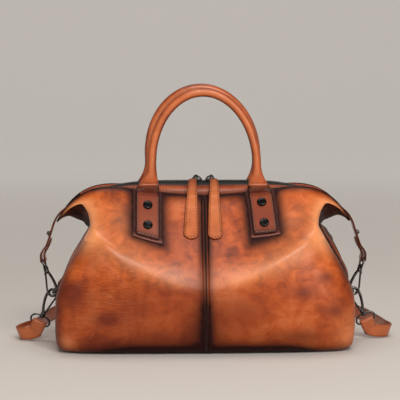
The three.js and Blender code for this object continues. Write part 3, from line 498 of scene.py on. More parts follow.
def shell(points, normals, thick, rim_steps=3):
    """A sheet with its outer face at the points, each vertex's grid point, and 1 where it is on the edge."""
    rows, columns = points.shape[:2]
    thick = np.broadcast_to(np.asarray(thick, float), (rows, columns))[..., None]
    inner = points - normals * thick
    edge_way = np.zeros_like(points)
    edge_way[0] += unit(points[0] - points[1])
    edge_way[-1] += unit(points[-1] - points[-2])
    edge_way[:, 0] += unit(points[:, 0] - points[:, 1])
    edge_way[:, -1] += unit(points[:, -1] - points[:, -2])
    edge_way = unit(edge_way)
    loop = [(0, c) for c in range(columns)]
    loop += [(r, columns - 1) for r in range(1, rows)]
    loop += [(rows - 1, c) for c in range(columns - 2, -1, -1)]
    loop += [(r, 0) for r in range(rows - 2, 0, -1)]
    rim_rows, rim_columns = np.array(loop).T
    rim = (rim_rows, rim_columns)
    middle = (points - normals * thick / 2)[rim]
    half = thick[rim] / 2
    rings = []
    for step in range(1, rim_steps + 1):
        angle = math.pi * step / (rim_steps + 1)
        lift = normals[rim] * math.cos(angle) + edge_way[rim] * math.sin(angle)
        rings.append(middle + lift * half)
    vertices = np.concatenate([points.reshape(-1, 3), inner.reshape(-1, 3), *rings])
    count = rows * columns
    flat = rim_rows * columns + rim_columns
    around = np.arange(len(loop))
    chains = [flat] + [2 * count + k * len(loop) + around for k in range(rim_steps)] + [flat + count]
    faces = []
    for r in range(rows - 1):
        for c in range(columns - 1):
            a = r * columns + c
            faces.append((a, a + 1, a + columns + 1, a + columns))
            b = a + count
            faces.append((b, b + columns, b + columns + 1, b + 1))
    for upper, lower in zip(chains, chains[1:]):
        for i in range(len(loop)):
            j = (i + 1) % len(loop)
            faces.append((int(upper[j]), int(upper[i]), int(lower[i]), int(lower[j])))
    source = np.concatenate([np.arange(count), np.arange(count), np.tile(flat, rim_steps)])
    return vertices, faces, source, (np.arange(len(vertices)) >= 2 * count).astype(float)


def add_sheet(name, points, thick, material, slot, stands_for, marks):
    vertices, faces, source, rim = shell(points, grid_normals(points), thick)
    size = points.shape[:2]
    spread = {label: np.broadcast_to(value, size).ravel()[source] for label, value in marks.items()}
    spread["rim"] = rim
    return add_piece(name, vertices, faces, material, slot, stands_for, marks=spread)


def loft(rings, closed=False):
    """Skin over rings of equal size. Unless closed, both ends get a cap."""
    rings = np.asarray(rings, float)
    count, sides = rings.shape[:2]
    faces = []
    for r in range(count if closed else count - 1):
        for s in range(sides):
            a, b = r * sides + s, r * sides + (s + 1) % sides
            shift = ((r + 1) % count - r) * sides
            faces.append((a, b, b + shift, a + shift))
    if not closed:
        faces.append(tuple(range(sides - 1, -1, -1)))
        faces.append(tuple((count - 1) * sides + s for s in range(sides)))
    return rings.reshape(-1, 3), faces


print("mesh helpers ready")

# %% Curves, tubes and turned shapes
def catmull(points, count, closed=False):
    """Evenly spaced points on a smooth curve through the given ones."""
    points = np.asarray(points, float)
    if closed:
        padded = np.concatenate([points[-1:], points, points[:2]])
    else:
        padded = np.concatenate([2 * points[:1] - points[1:2], points, 2 * points[-1:] - points[-2:-1]])
    fine = []
    for p0, p1, p2, p3 in zip(padded, padded[1:], padded[2:], padded[3:]):
        gaps = [max(np.linalg.norm(b - a), 1e-6) ** 0.5 for a, b in ((p0, p1), (p1, p2), (p2, p3))]
        t0, t1 = 0.0, gaps[0]
        t2 = t1 + gaps[1]
        t3 = t2 + gaps[2]
        t = np.linspace(t1, t2, 24, endpoint=False)[:, None]
        a1 = p0 * (t1 - t) / (t1 - t0) + p1 * (t - t0) / (t1 - t0)
        a2 = p1 * (t2 - t) / (t2 - t1) + p2 * (t - t1) / (t2 - t1)
        a3 = p2 * (t3 - t) / (t3 - t2) + p3 * (t - t2) / (t3 - t2)
        b1 = a1 * (t2 - t) / (t2 - t0) + a2 * (t - t0) / (t2 - t0)
        b2 = a2 * (t3 - t) / (t3 - t1) + a3 * (t - t1) / (t3 - t1)
        fine.append(b1 * (t2 - t) / (t2 - t1) + b2 * (t - t1) / (t2 - t1))
    fine = np.concatenate(fine + [points[:1] if closed else points[-1:]])
    return resampled(fine, count, closed)


def resampled(line, count, closed=False):
    gone = distance(line)
    even = sampled(line, gone, np.linspace(0, gone[-1], count + 1 if closed else count))
    return even[:-1] if closed else even


def tangents(line, closed=False):
    if closed:
        return unit(np.roll(line, -1, axis=0) - np.roll(line, 1, axis=0))
    return unit(np.gradient(line, axis=0))


def tube(line, radius, sides=12, closed=False, round_ends=False):
    """A wire of the given radius, one value or one for each point of its line."""
    line = np.asarray(line, float)
    radius = np.broadcast_to(np.asarray(radius, float), len(line)).copy()
    if round_ends:
        line, radius = rounded_ends(line, radius)
    ways = tangents(line, closed)
    start = np.eye(3)[np.argmin(np.abs(ways[0]))]
    side = unit(start - ways[0] * (start @ ways[0]))
    frames = []
    for way in ways:
        side = unit(side - way * (side @ way))
        frames.append((side, np.cross(way, side)))
    twist = 0.0
    if closed:
        end = unit(frames[-1][0] - ways[0] * (frames[-1][0] @ ways[0]))
        twist = math.atan2(end @ frames[0][1], end @ frames[0][0])
    rings = []
    for i, (first, second) in enumerate(frames):
        angle = np.arange(sides) * 2 * math.pi / sides - twist * i / len(line)
        rim = np.outer(np.cos(angle), first) + np.outer(np.sin(angle), second)
        rings.append(line[i] + rim * radius[i])
    return loft(rings, closed)


def rounded_ends(line, radius, steps=4):
    ways = tangents(line)
    turns = [math.pi / 2 * k / steps for k in range(1, steps + 1)]
    head = [line[0] - ways[0] * radius[0] * 0.9 * math.sin(a) for a in reversed(turns)]
    tail = [line[-1] + ways[-1] * radius[-1] * 0.9 * math.sin(a) for a in turns]
    cap = [max(math.cos(a), 0.06) for a in turns]
    sizes = [[c * radius[0] for c in reversed(cap)], radius, [c * radius[-1] for c in cap]]
    return np.concatenate([head, line, tail]), np.concatenate(sizes)


def turned(profile, place, sides=32):
    """A lathe shape: rows of radius and height along the axis that `place` maps into the frame."""
    angle = np.arange(sides) * 2 * math.pi / sides
    rings = [place(np.full(sides, h), r * np.cos(angle), r * np.sin(angle)) for r, h in profile]
    return outward_loft(rings)


def outward_loft(rings, closed=False):
    """A loft whose faces are turned to look outwards, whichever way its rings run."""
    points, faces = loft(rings, closed)
    total = 0.0
    for face in faces:
        corner = points[list(face)]
        total += sum(corner[0] @ np.cross(corner[i], corner[i + 1]) for i in range(1, len(face) - 1))
    return points, faces if total > 0 else [tuple(reversed(face)) for face in faces]


print("curve helpers ready")

# %% [markdown]
# ## The body's walls
# Each row of this table is one section through the body, from the sole up to the mouth: where its middle
# lies, where its side seam lies, how boxy it is, and where the gusset between the walls folds in. A smooth
# curve runs from row to row, so `v` is a height counted in rows and `share` runs from the centre seam, 0,
# to the side seam, 1. The solids have the same table, with a waist that is 2 to 3 mm wider, so everything
# sewn on the wall finds its place.

# %% Section table
COLUMNS = ["front_z", "front_y", "edge_x", "edge_y", "edge_z", "rise", "square", "open", "side_x",
           "side_z"]
ROWS = np.array([
    [0.4, 84, 187, 50, 0.4, 0, 4, 0, 189, 0.4],
    [4, 92.5, 196, 57, 4, 0, 4, 0, 198, 4],
    [13, 98, 200.5, 62, 13, 0, 4, 0, 203, 13],
    [42, 104, 202, 64, 42, 0, 4, 0, 203, 42],
    [70, 104.5, 200, 62, 76, 6, 4, 0, 195.5, 72],
    [79, 103, 188.5, 57, 108, 29, 4, 0.05, 183, 103],
    [86, 101, 171.5, 50, 137, 51, 4, 0.2, 168, 131],
    [94, 97.5, 157, 43, 163, 69, 4.5, 0.41, 155, 151],
    [112, 88.5, 155.5, 40, 171, 60, 4.5, 0.54, 150, 160],
    [135, 74.5, 157, 37, 179, 52, 4, 0.58, 152, 165],
    [160, 59, 160.5, 34, 188, 47, 3.6, 0.57, 160.5, 173],
    [182, 45, 168, 29, 195.5, 44, 3, 0.52, 170, 181],
    [197, 36, 185, 22, 188, 42, 2.5, 0.43, 186, 180],
    [207, 29.5, 202, 14, 171.5, 40, 2, 0.31, 202, 167],
])
LAST_ROW = len(ROWS) - 1
RIDGE_POWER = 1.85
DROOP_POWER = 5.6
RIGHT_SWELL = 20.0


def mix(a, b, t):
    return a + (b - a) * t


def smooth(share):
    share = np.clip(share, 0, 1)
    return share * share * (3 - 2 * share)


def section(v):
    v = np.asarray(v, float)
    row = np.clip(np.floor(v), 0, LAST_ROW - 1).astype(int)
    t = (v - row)[..., None]
    p0, p1, p2, p3 = [ROWS[np.clip(row + k, 0, LAST_ROW)] for k in (-1, 0, 1, 2)]
    cubic = (3 * p1 - p0 - 3 * p2 + p3) * t ** 3
    values = 0.5 * (2 * p1 + (p2 - p0) * t + (2 * p0 - 5 * p1 + 4 * p2 - p3) * t ** 2 + cubic)
    return {name: values[..., i] for i, name in enumerate(COLUMNS)}


def front_wall(share, v):
    c = section(v)
    size = np.minimum(np.abs(share), 1)

    def bend(part):
        return np.maximum(1 - np.minimum(part, 1) ** c["square"], 0) ** (1 / c["square"])

    last = np.maximum(c["open"], 0)
    depth = (bend(bend(last) * size) - last) / (1 - last)
    droop = (c["edge_z"] - c["front_z"] - c["rise"]) * size ** DROOP_POWER
    z = c["front_z"] + c["rise"] * size ** RIDGE_POWER + droop
    return np.stack([c["edge_x"] * share, -mix(c["edge_y"], c["front_y"], depth), z], axis=-1)


def gusset_wall(t, v, extra):
    c = section(v)
    fold = 1 - t * t
    side = c["side_x"] + extra * smooth((v - 5.45) / 1.25) * (1 - smooth((v - 7.5) / 1.7))
    x, z = mix(c["edge_x"], side, fold), mix(c["edge_z"], c["side_z"], fold)
    return np.stack([x, c["edge_y"] * t, z], axis=-1)


def on_front(x, v, lift):
    x, v, lift = np.broadcast_arrays(np.asarray(x, float), np.asarray(v, float), np.asarray(lift, float))
    share = x / section(v)["edge_x"]
    step = 1e-3
    low, high = np.clip(v - step, 0, LAST_ROW), np.clip(v + step, 0, LAST_ROW)
    across = front_wall(share + step, v) - front_wall(share - step, v)
    normal = unit(np.cross(across, front_wall(share, high) - front_wall(share, low)))
    return front_wall(share, v) + normal * lift[..., None]


print("widest half section:", ROWS[:, 2].max(), "mm")

# %% [markdown]
# ## Front and back panels
# Four panels of 2.2 mm leather make the walls: two in front and two behind, joined down the middle. The
# real seam is sewn inside out and turned, so both edges roll into a narrow groove, and the topstitching on
# either side pulls the leather down into a soft welt. The columns of the mesh crowd together near the
# groove and near the corner at the side seam, where the shape turns fastest.

# %% Panel grid
NEAR_SEAM = np.array([0.4, 0.6, 0.9, 1.3, 1.8, 2.2, 2.6, 3.0, 3.4, 3.8, 4.3, 4.9, 5.7, 7.0, 8.6, 10.5])
PANEL_COLUMNS = 74
PANEL_ROWS = np.linspace(0, LAST_ROW, 144)
CORNER_WEIGHT = 60.0


def panel_grid():
    rows = []
    for v in PANEL_ROWS:
        near = NEAR_SEAM / section(v)["edge_x"]
        shares = mix(near[-1], 1, 1 - (1 - np.linspace(0, 1, 320)) ** 3)
        line = front_wall(shares, np.full(shares.shape, v))
        runs = np.diff(line, axis=0)
        ways = unit(runs)
        turn = np.arccos(np.clip((ways[1:] * ways[:-1]).sum(1), -1, 1))
        gone = np.linalg.norm(runs, axis=1) + CORNER_WEIGHT * np.concatenate([[0], turn])
        gone = np.concatenate([[0], np.cumsum(gone)])
        stops = np.linspace(0, gone[-1], PANEL_COLUMNS)
        rows.append(np.concatenate([near[:-1], np.interp(stops, gone, shares)]))
    shares = np.array(rows)
    return shares, front_wall(shares, np.broadcast_to(PANEL_ROWS[:, None], shares.shape))


panel_shares, panel_points = panel_grid()
panel_rows = np.broadcast_to(PANEL_ROWS[:, None], panel_shares.shape)
print("panel grid:", panel_points.shape[:2])

# %% [markdown]
# Leather that has been used is never a clean surface. Slow ripples move the lower half by half a
# millimetre, drag lines run down from the waist where the wings pull, and one long soft crease crosses the
# lower right, where the full bag settles. Each row of the fold table is a line in the front view.

# %% Ripples, folds and the centre groove
FOLDS = [
    {"from": (-150, 150), "to": (-96, 92), "wide": 7.0, "deep": 0.9},
    {"from": (-158, 128), "to": (-118, 70), "wide": 9.0, "deep": 0.8},
    {"from": (150, 150), "to": (92, 96), "wide": 8.0, "deep": 0.8},
    {"from": (66, 26), "to": (168, 14), "wide": 9.0, "deep": 1.3},
    {"from": (150, 112), "to": (104, 84), "wide": 6.0, "deep": 0.6},
    {"from": (-170, 40), "to": (-70, 30), "wide": 12.0, "deep": 0.7},
]


def fold_depth(x, z):
    total = np.zeros_like(x)
    for fold in FOLDS:
        start, end = np.array(fold["from"], float), np.array(fold["to"], float)
        way = end - start
        t = ((x - start[0]) * way[0] + (z - start[1]) * way[1]) / (way @ way)
        off = ((x - start[0]) * -way[1] + (z - start[1]) * way[0]) / np.linalg.norm(way)
        fade = np.clip(t * 4, 0, 1) * np.clip((1 - t) * 4, 0, 1) * ((t > 0) & (t < 1))
        fade = smooth(fade)
        near = off / fold["wide"]
        total += fold["deep"] * fade * (0.7 * np.exp(-((near - 1.3) ** 2)) - np.exp(-near * near))
    return total


def ripple(x, z, phase):
    slow = np.sin(x / 27 + 1.4 * np.sin(z / 33 + phase)) * np.sin(z / 21 + 1.1 * np.sin(x / 41 - phase))
    quick = np.sin(x / 11.5 + 2 * np.sin(z / 17 + phase)) * np.sin(z / 9.5 + 1.3 * np.sin(x / 14))
    calm = np.clip((125 - z) / 50, 0.12, 1) * np.clip(z / 14, 0, 1)
    return (0.42 * slow + 0.1 * quick) * calm


def groove(x):
    gap = np.abs(x)
    ladder = 0.35 * (1 - smooth((gap - 2.4) / 0.9)) - 0.3 * np.exp(-((gap / 0.5) ** 2))
    welt = 0.5 * np.exp(-((gap - 5.8) / 2.3) ** 2)
    return ladder + welt - 0.8 * np.exp(-((gap - 3.5) / 0.55) ** 2)


print("folds:", len(FOLDS), "groove depth:", round(float(groove(np.array(3.5))), 2), "mm")

# %% [markdown]
# The marks on the panels: burnish along the centre seam, under the mouth, round the dark patches and along
# the side edges; painted shade in a broad band round the foot of the centre seam, along the sole and beside
# the right side seam; a pale band along the ridge that is partly the pull-up of stretched leather and partly
# a painted highlight; painted highlights on the rolled lips of the wings, along each lip of the seam's groove
# and where the ridge crosses the seam; a paler upper slope and paler bottom corners; a few deep stains, with
# the whole lower half darker, more so on the left; and creased skin on the flanks.

# %% Panel marks
TAB_X = 77.5
TAB_SLANT = 1.7
SLANT_ROW = 11.36
ROW_MM = 24.0
PATCH_EDGE, PATCH_FOOT_ROW = 18.0, 9.2
HALO_WIDE, SEAM_WIDE, SHADOW_WIDE, MOUTH_WIDE = 11.5, 7.5, 27.0, 10.5
SOLE_TALL, SOLE_HAZE, FLANK_WIDE, LIP_WIDE = 12.5, 26.0, 9.0, 12.0
RIDGE_ROW, SLOPE_ROW, WAIST_ROW = 7.1, 9.3, 5.6
STAINS = [
    {"x": -178, "z": 86, "wide": 17, "tall": 15, "deep": 0.85},
    {"x": -131, "z": 50, "wide": 15, "tall": 9, "deep": 0.7},
    {"x": -150, "z": 128, "wide": 16, "tall": 14, "deep": 0.5},
    {"x": -95, "z": 62, "wide": 34, "tall": 22, "deep": 0.3},
    {"x": 160, "z": 104, "wide": 12, "tall": 8, "deep": 0.8},
    {"x": 128, "z": 84, "wide": 15, "tall": 9, "deep": 0.65},
    {"x": 172, "z": 58, "wide": 16, "tall": 11, "deep": 0.7},
    {"x": 132, "z": 26, "wide": 32, "tall": 11, "deep": 0.5},
    {"x": 50, "z": 56, "wide": 34, "tall": 26, "deep": 0.5},
    {"x": -60, "z": 24, "wide": 30, "tall": 12, "deep": 0.4},
    {"x": -44, "z": 152, "wide": 28, "tall": 26, "deep": 0.26},
]


def tab_middle(side, v):
    """The middle of a handle's tab at height v. Only the right one slants."""
    return side * TAB_X + max(side, 0) * TAB_SLANT * (SLANT_ROW - v)


def bell(value, wide):
    return np.exp(-((value / wide) ** 2))


def panel_marks(points, shares, rows):
    x, z = points[..., 0], points[..., 2]
    middle = np.where(x > 0, tab_middle(1, rows), tab_middle(-1, rows))
    beside = np.maximum(np.abs(x - middle) - PATCH_EDGE, 0)
    below = np.maximum((PATCH_FOOT_ROW - rows) * ROW_MM, 0)
    halo = bell(np.hypot(beside, below), HALO_WIDE) * (z > 100)
    gap = np.abs(x)
    # Burnish along the centre seam, eased about 96 mm up where it paints the ridge's highlight across the
    # seam.
    seam = bell(np.maximum(gap - 2, 0), SEAM_WIDE) * mix(0.6, 1.0, smooth(np.abs(z - 96) / 50))
    # A painted highlight: a thin pale line on each lip of the seam's groove.
    seam *= 1 - 0.45 * bell(gap - 2.5, 0.5)
    # Painted shade: a broad dark band round the seam that deepens towards its foot.
    shadow = bell(gap, SHADOW_WIDE) * mix(0.08, 0.68, smooth((105 - z) / 65))
    seam = 1 - (1 - seam) * (1 - shadow)
    mouth = bell((LAST_ROW - rows) * ROW_MM / 2, MOUTH_WIDE) * 0.95
    middle_share = 1 - smooth((gap - 90) / 100)
    # Painted shade along the sole, strongest in the middle, with a wider haze above it.
    sole = 0.95 * bell(z, SOLE_TALL) * mix(0.5, 1.0, middle_share)
    sole = np.clip(sole + 0.55 * bell(z, SOLE_HAZE) * middle_share, 0, 1)
    # Side edges: burnish on the left; on the right burnish with a painted shade band, deepest about 112 mm
    # up, that stands for the shaded gusset beside the seam.
    flank_deep = np.where(x < 0, 0.5, 0.18 + 0.6 * bell(z - 112, 30))
    flank = bell((1 - shares) * 200, FLANK_WIDE) * flank_deep * (z < 150)
    burnish_and_shade = 1 - (1 - halo * 0.92) * (1 - seam) * (1 - mouth) * (1 - sole) * (1 - flank)
    # A pale band along the ridge: partly the pull-up of stretched leather, partly a painted highlight.
    ridge = bell(rows - RIDGE_ROW, 0.85) * np.where(x < 0, 0.4, 0.52) * np.clip(gap / 40, 0.3, 1)
    # A painted highlight on the rolled lips of the wings, and paler bottom corners.
    lip = bell((1 - shares) * 150, LIP_WIDE) * smooth((rows - WAIST_ROW) / 1.2)
    lip += 0.4 * bell(x - 195, 22) * bell(z - 22, 30) + 0.4 * bell(x + 186, 12) * bell(z - 14, 12)
    # The upper slope is made paler away from the middle.
    slope = bell(rows - SLOPE_ROW, 1.7) * np.where(x < 0, 0.26, 0.2) * smooth((gap - 50) / 50)
    stain = np.zeros_like(x)
    for spot in STAINS:
        stain += spot["deep"] * bell(x - spot["x"], spot["wide"]) * bell(z - spot["z"], spot["tall"])
    # Not a stain: the whole wall is made darker below about 112 mm, more so on the left.
    stain += smooth((112 - z) / 26) * np.where(x < 0, 0.4, 0.2)
    crease = np.clip(bell(gap - 135, 55) * bell(z - 75, 55) * np.where(x < 0, 1.0, 0.3), 0, 1)
    return {"burnish_and_shade": burnish_and_shade, "rub_and_highlight": np.clip(ridge + lip + slope, 0, 1), "stain": np.clip(stain, 0, 1),
            "crease": crease}


print("stains:", len(STAINS))

# %% Panels
LEATHER = 2.2
LIP_LEATHER = 4.4


def soft_wall(points, phase):
    normals = grid_normals(points)
    x, z = points[..., 0], points[..., 2]
    move = ripple(x, z, phase) + fold_depth(x, z) + groove(x)
    return points + normals * move[..., None]


def panel(name, node, x_sign, y_sign, phase):
    points = panel_points * np.array([x_sign, y_sign, 1.0])
    shares, rows = panel_shares, panel_rows
    if x_sign * y_sign < 0:
        points, shares, rows = points[:, ::-1], shares[:, ::-1], rows[:, ::-1]
    points = soft_wall(points, phase)
    lip = np.clip((rows - 6.5) / 1.5, 0, 1) * np.clip((shares - 0.9) / 0.08, 0, 1)
    thick = mix(LEATHER, LIP_LEATHER, lip) * mix(0.28, 1, smooth((np.abs(points[..., 0]) - 0.4) / 5))
    add_sheet(name, points, thick, body_leather, "leather", [node], panel_marks(points, shares, rows))
    return points if x_sign * y_sign > 0 else points[:, ::-1]


walls = [
    panel("leather_front_right", "front_panel_right", 1, 1, 0.4),
    panel("leather_front_left", "front_panel_left", -1, 1, 2.1),
    panel("leather_back_right", "back_panel_right", 1, -1, 3.3),
    panel("leather_back_left", "back_panel_left", -1, -1, 5.2),
]

# %% [markdown]
# ## Gussets and sole
# A gusset closes each end between the front and the back. Down at the sole it is almost flat. Higher up it
# folds in like a bellows, and under the wings it hangs as a deep pocket. On the right it also swells out
# softly in front. Its colour is darkened with burnish and painted shade in the pockets, over the upper part
# of the right gusset and along the sole. It is cut from thinner leather and thins out towards the seams,
# where the maker skives it so that the seam stays slim.

# %% Gussets and sole
GUSSET_LEATHER = 1.5
SOLE_EDGE = [(0.0, 4.0), (0.15, 2.6), (0.7, 1.8), (1.6, 1.7), (2.3, 1.9)]
SEAM_ROOM = 1.7
BULGE = 11.0
POCKET_SAG = 12.0


def gusset(name, node, sign, extra):
    v = np.linspace(0.05, LAST_ROW - 0.03, 120)[:, None]
    s = np.sin(np.linspace(-1, 1, 45) * math.pi / 2)[None, :]
    t = s * (1 - SEAM_ROOM / section(v)["edge_y"])
    v = np.broadcast_to(v, t.shape)
    points = gusset_wall(t, v, extra)
    pleat = 0.5 * np.sin(v * 5.1 + 2 * np.sin(3 * t)) * bell(t, 0.6) * np.clip((v - 3) / 2, 0, 1)
    bulge = BULGE * smooth((v - 3.9) / 1.2) * (1 - smooth((v - WAIST_ROW) / 1.2)) * bell(t + 0.6, 0.28)
    points[..., 0] += pleat + bulge * (extra > 0)
    points[..., 2] -= POCKET_SAG * bell(t, 0.6) * smooth((v - 7.4) / 1.4) * (1 - smooth((v - 10.9) / 1.9))
    if sign < 0:
        points = (points * np.array([-1, 1, 1]))[:, ::-1]
    skived = np.clip((1 - np.abs(t)) * section(v)["edge_y"] / 7, 0.25, 1)
    pocket = np.clip((v - 5.5) / 1.5, 0, 1)
    # Burnish and painted shade: the pocket under each wing, the upper part of the right gusset, and a band at
    # the sole.
    dark = np.where(extra > 0, smooth((v - 3.5) / 1.5), pocket)
    burnish_and_shade = np.clip(0.2 + 0.75 * dark + bell(v, 0.9) * 0.5, 0, 0.85)
    burnish_and_shade = burnish_and_shade * (1 - 0.7 * bell(t + 0.78, 0.05) * (v < 8))
    marks = {"burnish_and_shade": burnish_and_shade, "crease": 0.3 + 0.7 * pocket, "stain": 0.3 * bell(t, 0.5)}
    add_sheet(name, points, GUSSET_LEATHER * skived, body_leather, "leather", [node], marks)


def sole():
    quarter = front_wall(np.linspace(0, 1, 40) ** 0.7, np.zeros(40))[:, :2]
    half = np.concatenate([quarter, (quarter * [1, -1])[::-1]])
    outline = np.concatenate([half[1:], (half * [-1, 1])[::-1][1:]])
    rings = []
    for height, inset in SOLE_EDGE:
        shrink = outline * [1 - inset / ROWS[0, 2], 1 - inset / ROWS[0, 1]]
        rings.append(np.column_stack([shrink, np.full(len(shrink), height)]))
    points, faces = outward_loft(rings)
    marks = {"burnish_and_shade": np.full(len(points), 0.45), "stain": np.full(len(points), 0.5)}
    add_piece("leather_sole", points, faces, body_leather, "leather", ["base_panel"], marks=marks)


gusset("leather_gusset_right", "gusset_right", 1, RIGHT_SWELL)
gusset("leather_gusset_left", "gusset_left", -1, 0.0)
sole()

# %% [markdown]
# ## The zip
# Two leather bands lean in over the mouth like a low roof and carry the woven tape. `roof` places a point
# across the mouth: `part` is 1 at the front edge and 0 on the zip, and the ridge rises in the middle.

# %% Bands and tape
ZIP_REACH = 171.0
CHAIN_LIFT = 0.35
BAND_ROWS, BAND_LEATHER = 16, 1.6


def roof(x, part, rise, lift):
    x = np.asarray(x, float)
    edge = front_wall(x / ROWS[LAST_ROW, 2], np.full(x.shape, float(LAST_ROW)))
    ridge = 20.5 * np.maximum(0, 1 - (x / 130) ** 2) - 4.5
    return np.stack([x, edge[..., 1] * part, edge[..., 2] + ridge * rise + lift], axis=-1)


def band_grid(columns, rows):
    x = np.linspace(-ZIP_REACH, ZIP_REACH, columns)
    corners = [roof(x, 0.86, 0, -6), roof(x, 0.825, 0.1, 0.1), roof(x, 0.72, 0.5, 0.5), roof(x, 0.6, 0.78, 0)]
    knots = np.array([0.0, 0.3, 0.66, 1.0])
    s = np.linspace(0, 1, rows)
    grid = np.stack([np.stack([np.interp(s, knots, [c[i, k] for c in corners]) for k in range(3)], axis=1)
                     for i in range(columns)], axis=1)
    for _ in range(3):
        grid[1:-1] = (grid[:-2] + 2 * grid[1:-1] + grid[2:]) / 4
    wave = 0.25 * np.sin(x / 9.0 + 1.5 * np.sin(x / 23)) * np.clip(1 - np.abs(x) / 190, 0, 1)
    grid[..., 2] += wave * np.sin(s * math.pi)[:, None]
    return grid


band = band_grid(190, BAND_ROWS)
rise = np.linspace(0, 1, BAND_ROWS)[:, None]
band_marks = {"burnish_and_shade": np.clip(0.95 * bell(rise, 0.3) + 0.5 * bell(1 - rise, 0.15), 0, 1), "stain": 0.55}
for face_name, grid in (("front", band), ("back", (band * TO_BACK)[:, ::-1])):
    node = "zip_band_" + face_name
    add_sheet("leather_" + node, grid, BAND_LEATHER, body_leather, "leather", [node], band_marks)
tape_x = np.linspace(-ZIP_REACH, ZIP_REACH, 160)
tape = np.stack([roof(tape_x, 0.575 * s, mix(0.98, 0.8, abs(s)), 0.0) for s in np.linspace(1, -1, 15)])
add_sheet("woven_zip_tape", tape, 1.0, zip_tape_weave, "zip_tape", ["zip_tape"], {})
print("zip tape:", tape.shape[:2])

# %% [markdown]
# The teeth are moulded one by one on the two edges of the tape and mesh in the middle. One small tooth is
# made once and set down again and again by `scatter`, each copy with its own place and its own three
# directions. The same helper lays the stitches later on.

# %% Teeth
TOOTH_PITCH = 1.36
TOOTH_LEVELS = [(1, 0), (1, 1.4), (0.9, 1.9), (0.6, 2.2)]


def scatter(template, origins, aways, sides, ups):
    points, faces = template
    spread = origins[:, None] + points[None, :, :1] * aways[:, None] + points[None, :, 1:2] * sides[:, None]
    spread = spread + points[None, :, 2:] * ups[:, None]
    size = len(points)
    every = [tuple(i + k * size for i in face) for k in range(len(origins)) for face in faces]
    return spread.reshape(-1, 3), every


def tooth():
    outline = np.array([[-0.42, -1.9], [0.42, -1.9], [0.55, -1.5], [0.55, 1.3], [0.3, 1.9], [-0.3, 1.9],
                        [-0.55, 1.3], [-0.55, -1.5]])
    return outward_loft([np.column_stack([outline * size, np.full(8, h)]) for size, h in TOOTH_LEVELS])


def zip_chain():
    x = np.arange(-ZIP_REACH + 2, ZIP_REACH - 2, TOOTH_PITCH)
    side = np.where(np.arange(len(x)) % 2 == 0, 1.0, -1.0)
    origins = roof(x, 0, 0.98, CHAIN_LIFT)
    aways = unit(np.gradient(origins, axis=0))
    sides = np.outer(side, BACKWARD)
    origins = origins - sides * 1.1
    ups = np.cross(aways, BACKWARD)
    teeth = scatter(tooth(), origins, aways, sides, ups)
    cords = []
    for y in (-3.0, 3.0):
        line = roof(np.linspace(-ZIP_REACH + 1, ZIP_REACH - 1, 120), 0, 0.98, 0.75) + BACKWARD * y
        cords.append(tube(line, 0.6, 8, round_ends=True))
    points, faces = joined(teeth, *cords)
    add_piece("zip_teeth_chain", points, faces, tooth_black, "zip_teeth", ["zip_chain"])
    return len(x)


print("teeth:", zip_chain())

# %% [markdown]
# Straps, tabs and pulls are all strips: a line to follow, a direction across and a rounded edge. A strip
# can change width on the way, which gives the pulls their drop shape and rounds off the ends.

# %% Strips
def strip(line, wide, up, half, thick, arc=6, flat=7):
    """A leather strip with round edges, with marks for its edge and its upper face."""
    count = len(line)
    half = np.broadcast_to(np.asarray(half, float), count)[:, None]
    round_off = np.broadcast_to(np.asarray(thick, float), count)[:, None] / 2
    straight = np.maximum(half - round_off, 0.05)
    turn = np.linspace(-math.pi / 2, math.pi / 2, arc)
    run = np.linspace(1, -1, flat)[1:-1]
    a = np.concatenate([straight + round_off * np.cos(turn), straight * run,
                        -straight - round_off * np.cos(turn), -straight * run], axis=1)
    b = np.concatenate([round_off * np.sin(turn), round_off * np.ones(flat - 2),
                        -round_off * np.sin(turn), -round_off * np.ones(flat - 2)], axis=1)
    rings = line[:, None] + wide[:, None] * a[..., None] + up[:, None] * b[..., None]
    points, faces = outward_loft(rings)
    rim = np.clip((np.abs(a) - straight) / round_off, 0, 1)
    return points, faces, {"rim": rim.ravel(), "top": (b / round_off).ravel()}


def strip_frame(line, wide):
    ways = tangents(line)
    wide = unit(wide - ways * (wide * ways).sum(1, keepdims=True))
    return wide, np.cross(ways, wide)


def rounded_width(gone, full, start_round, end_round):
    left = full - gone
    near = np.clip(gone / start_round, 0, 1)
    far = np.clip(left / end_round, 0, 1)
    return np.sqrt(np.maximum(1 - (1 - near) ** 2, 0.003)) * np.sqrt(np.maximum(1 - (1 - far) ** 2, 0.003))


print("strip helpers ready")

# %% [markdown]
# ## Sliders and pulls
# Each slider is a small rounded block that straddles the teeth, with a bail on top. A wire loop on the
# bail carries a long leather pull, which is free over the mouth and then lies on the front wall.

# %% Sliders
SLIDERS = [
    {"name": "left", "x": -9.0, "pull_x": -15.0, "foot_x": -20.0},
    {"name": "right", "x": 9.0, "pull_x": 13.5, "foot_x": 13.5},
]
SLIDER_SIZES = [(-6.5, 0.72), (-6.2, 0.86), (-5.2, 0.96), (-2, 1), (1, 0.97), (4, 0.86), (6, 0.72),
                (6.5, 0.6)]
BAIL = [[-4.6, 1.0], [-4.2, 3.2], [-2.6, 4.6], [0, 5.0], [2.6, 4.6], [4.2, 3.2], [4.6, 1.0]]
PULL_FREE = [(-9.5, 2.2), (-16, 1), (-23, -2.6), (-29.5, -7.2)]
PULL_ROWS = [12.55, 12, 11.4, 10.8, 10.2, 9.75, 9.6]
PULL_LIFT = 2.15


def slider_top(x):
    return float(roof(np.array(x), 0, 0.98, CHAIN_LIFT)[2]) + 2.2


def pull_line(slider):
    top = slider_top(slider["x"])
    share = np.linspace(0, 1, len(PULL_FREE) + len(PULL_ROWS))
    x = mix(slider["pull_x"], slider["foot_x"], share)
    free = [[x[i], y, top + h] for i, (y, h) in enumerate(PULL_FREE)]
    lying = on_front(x[len(PULL_FREE):], PULL_ROWS, PULL_LIFT)
    return np.concatenate([free, lying])


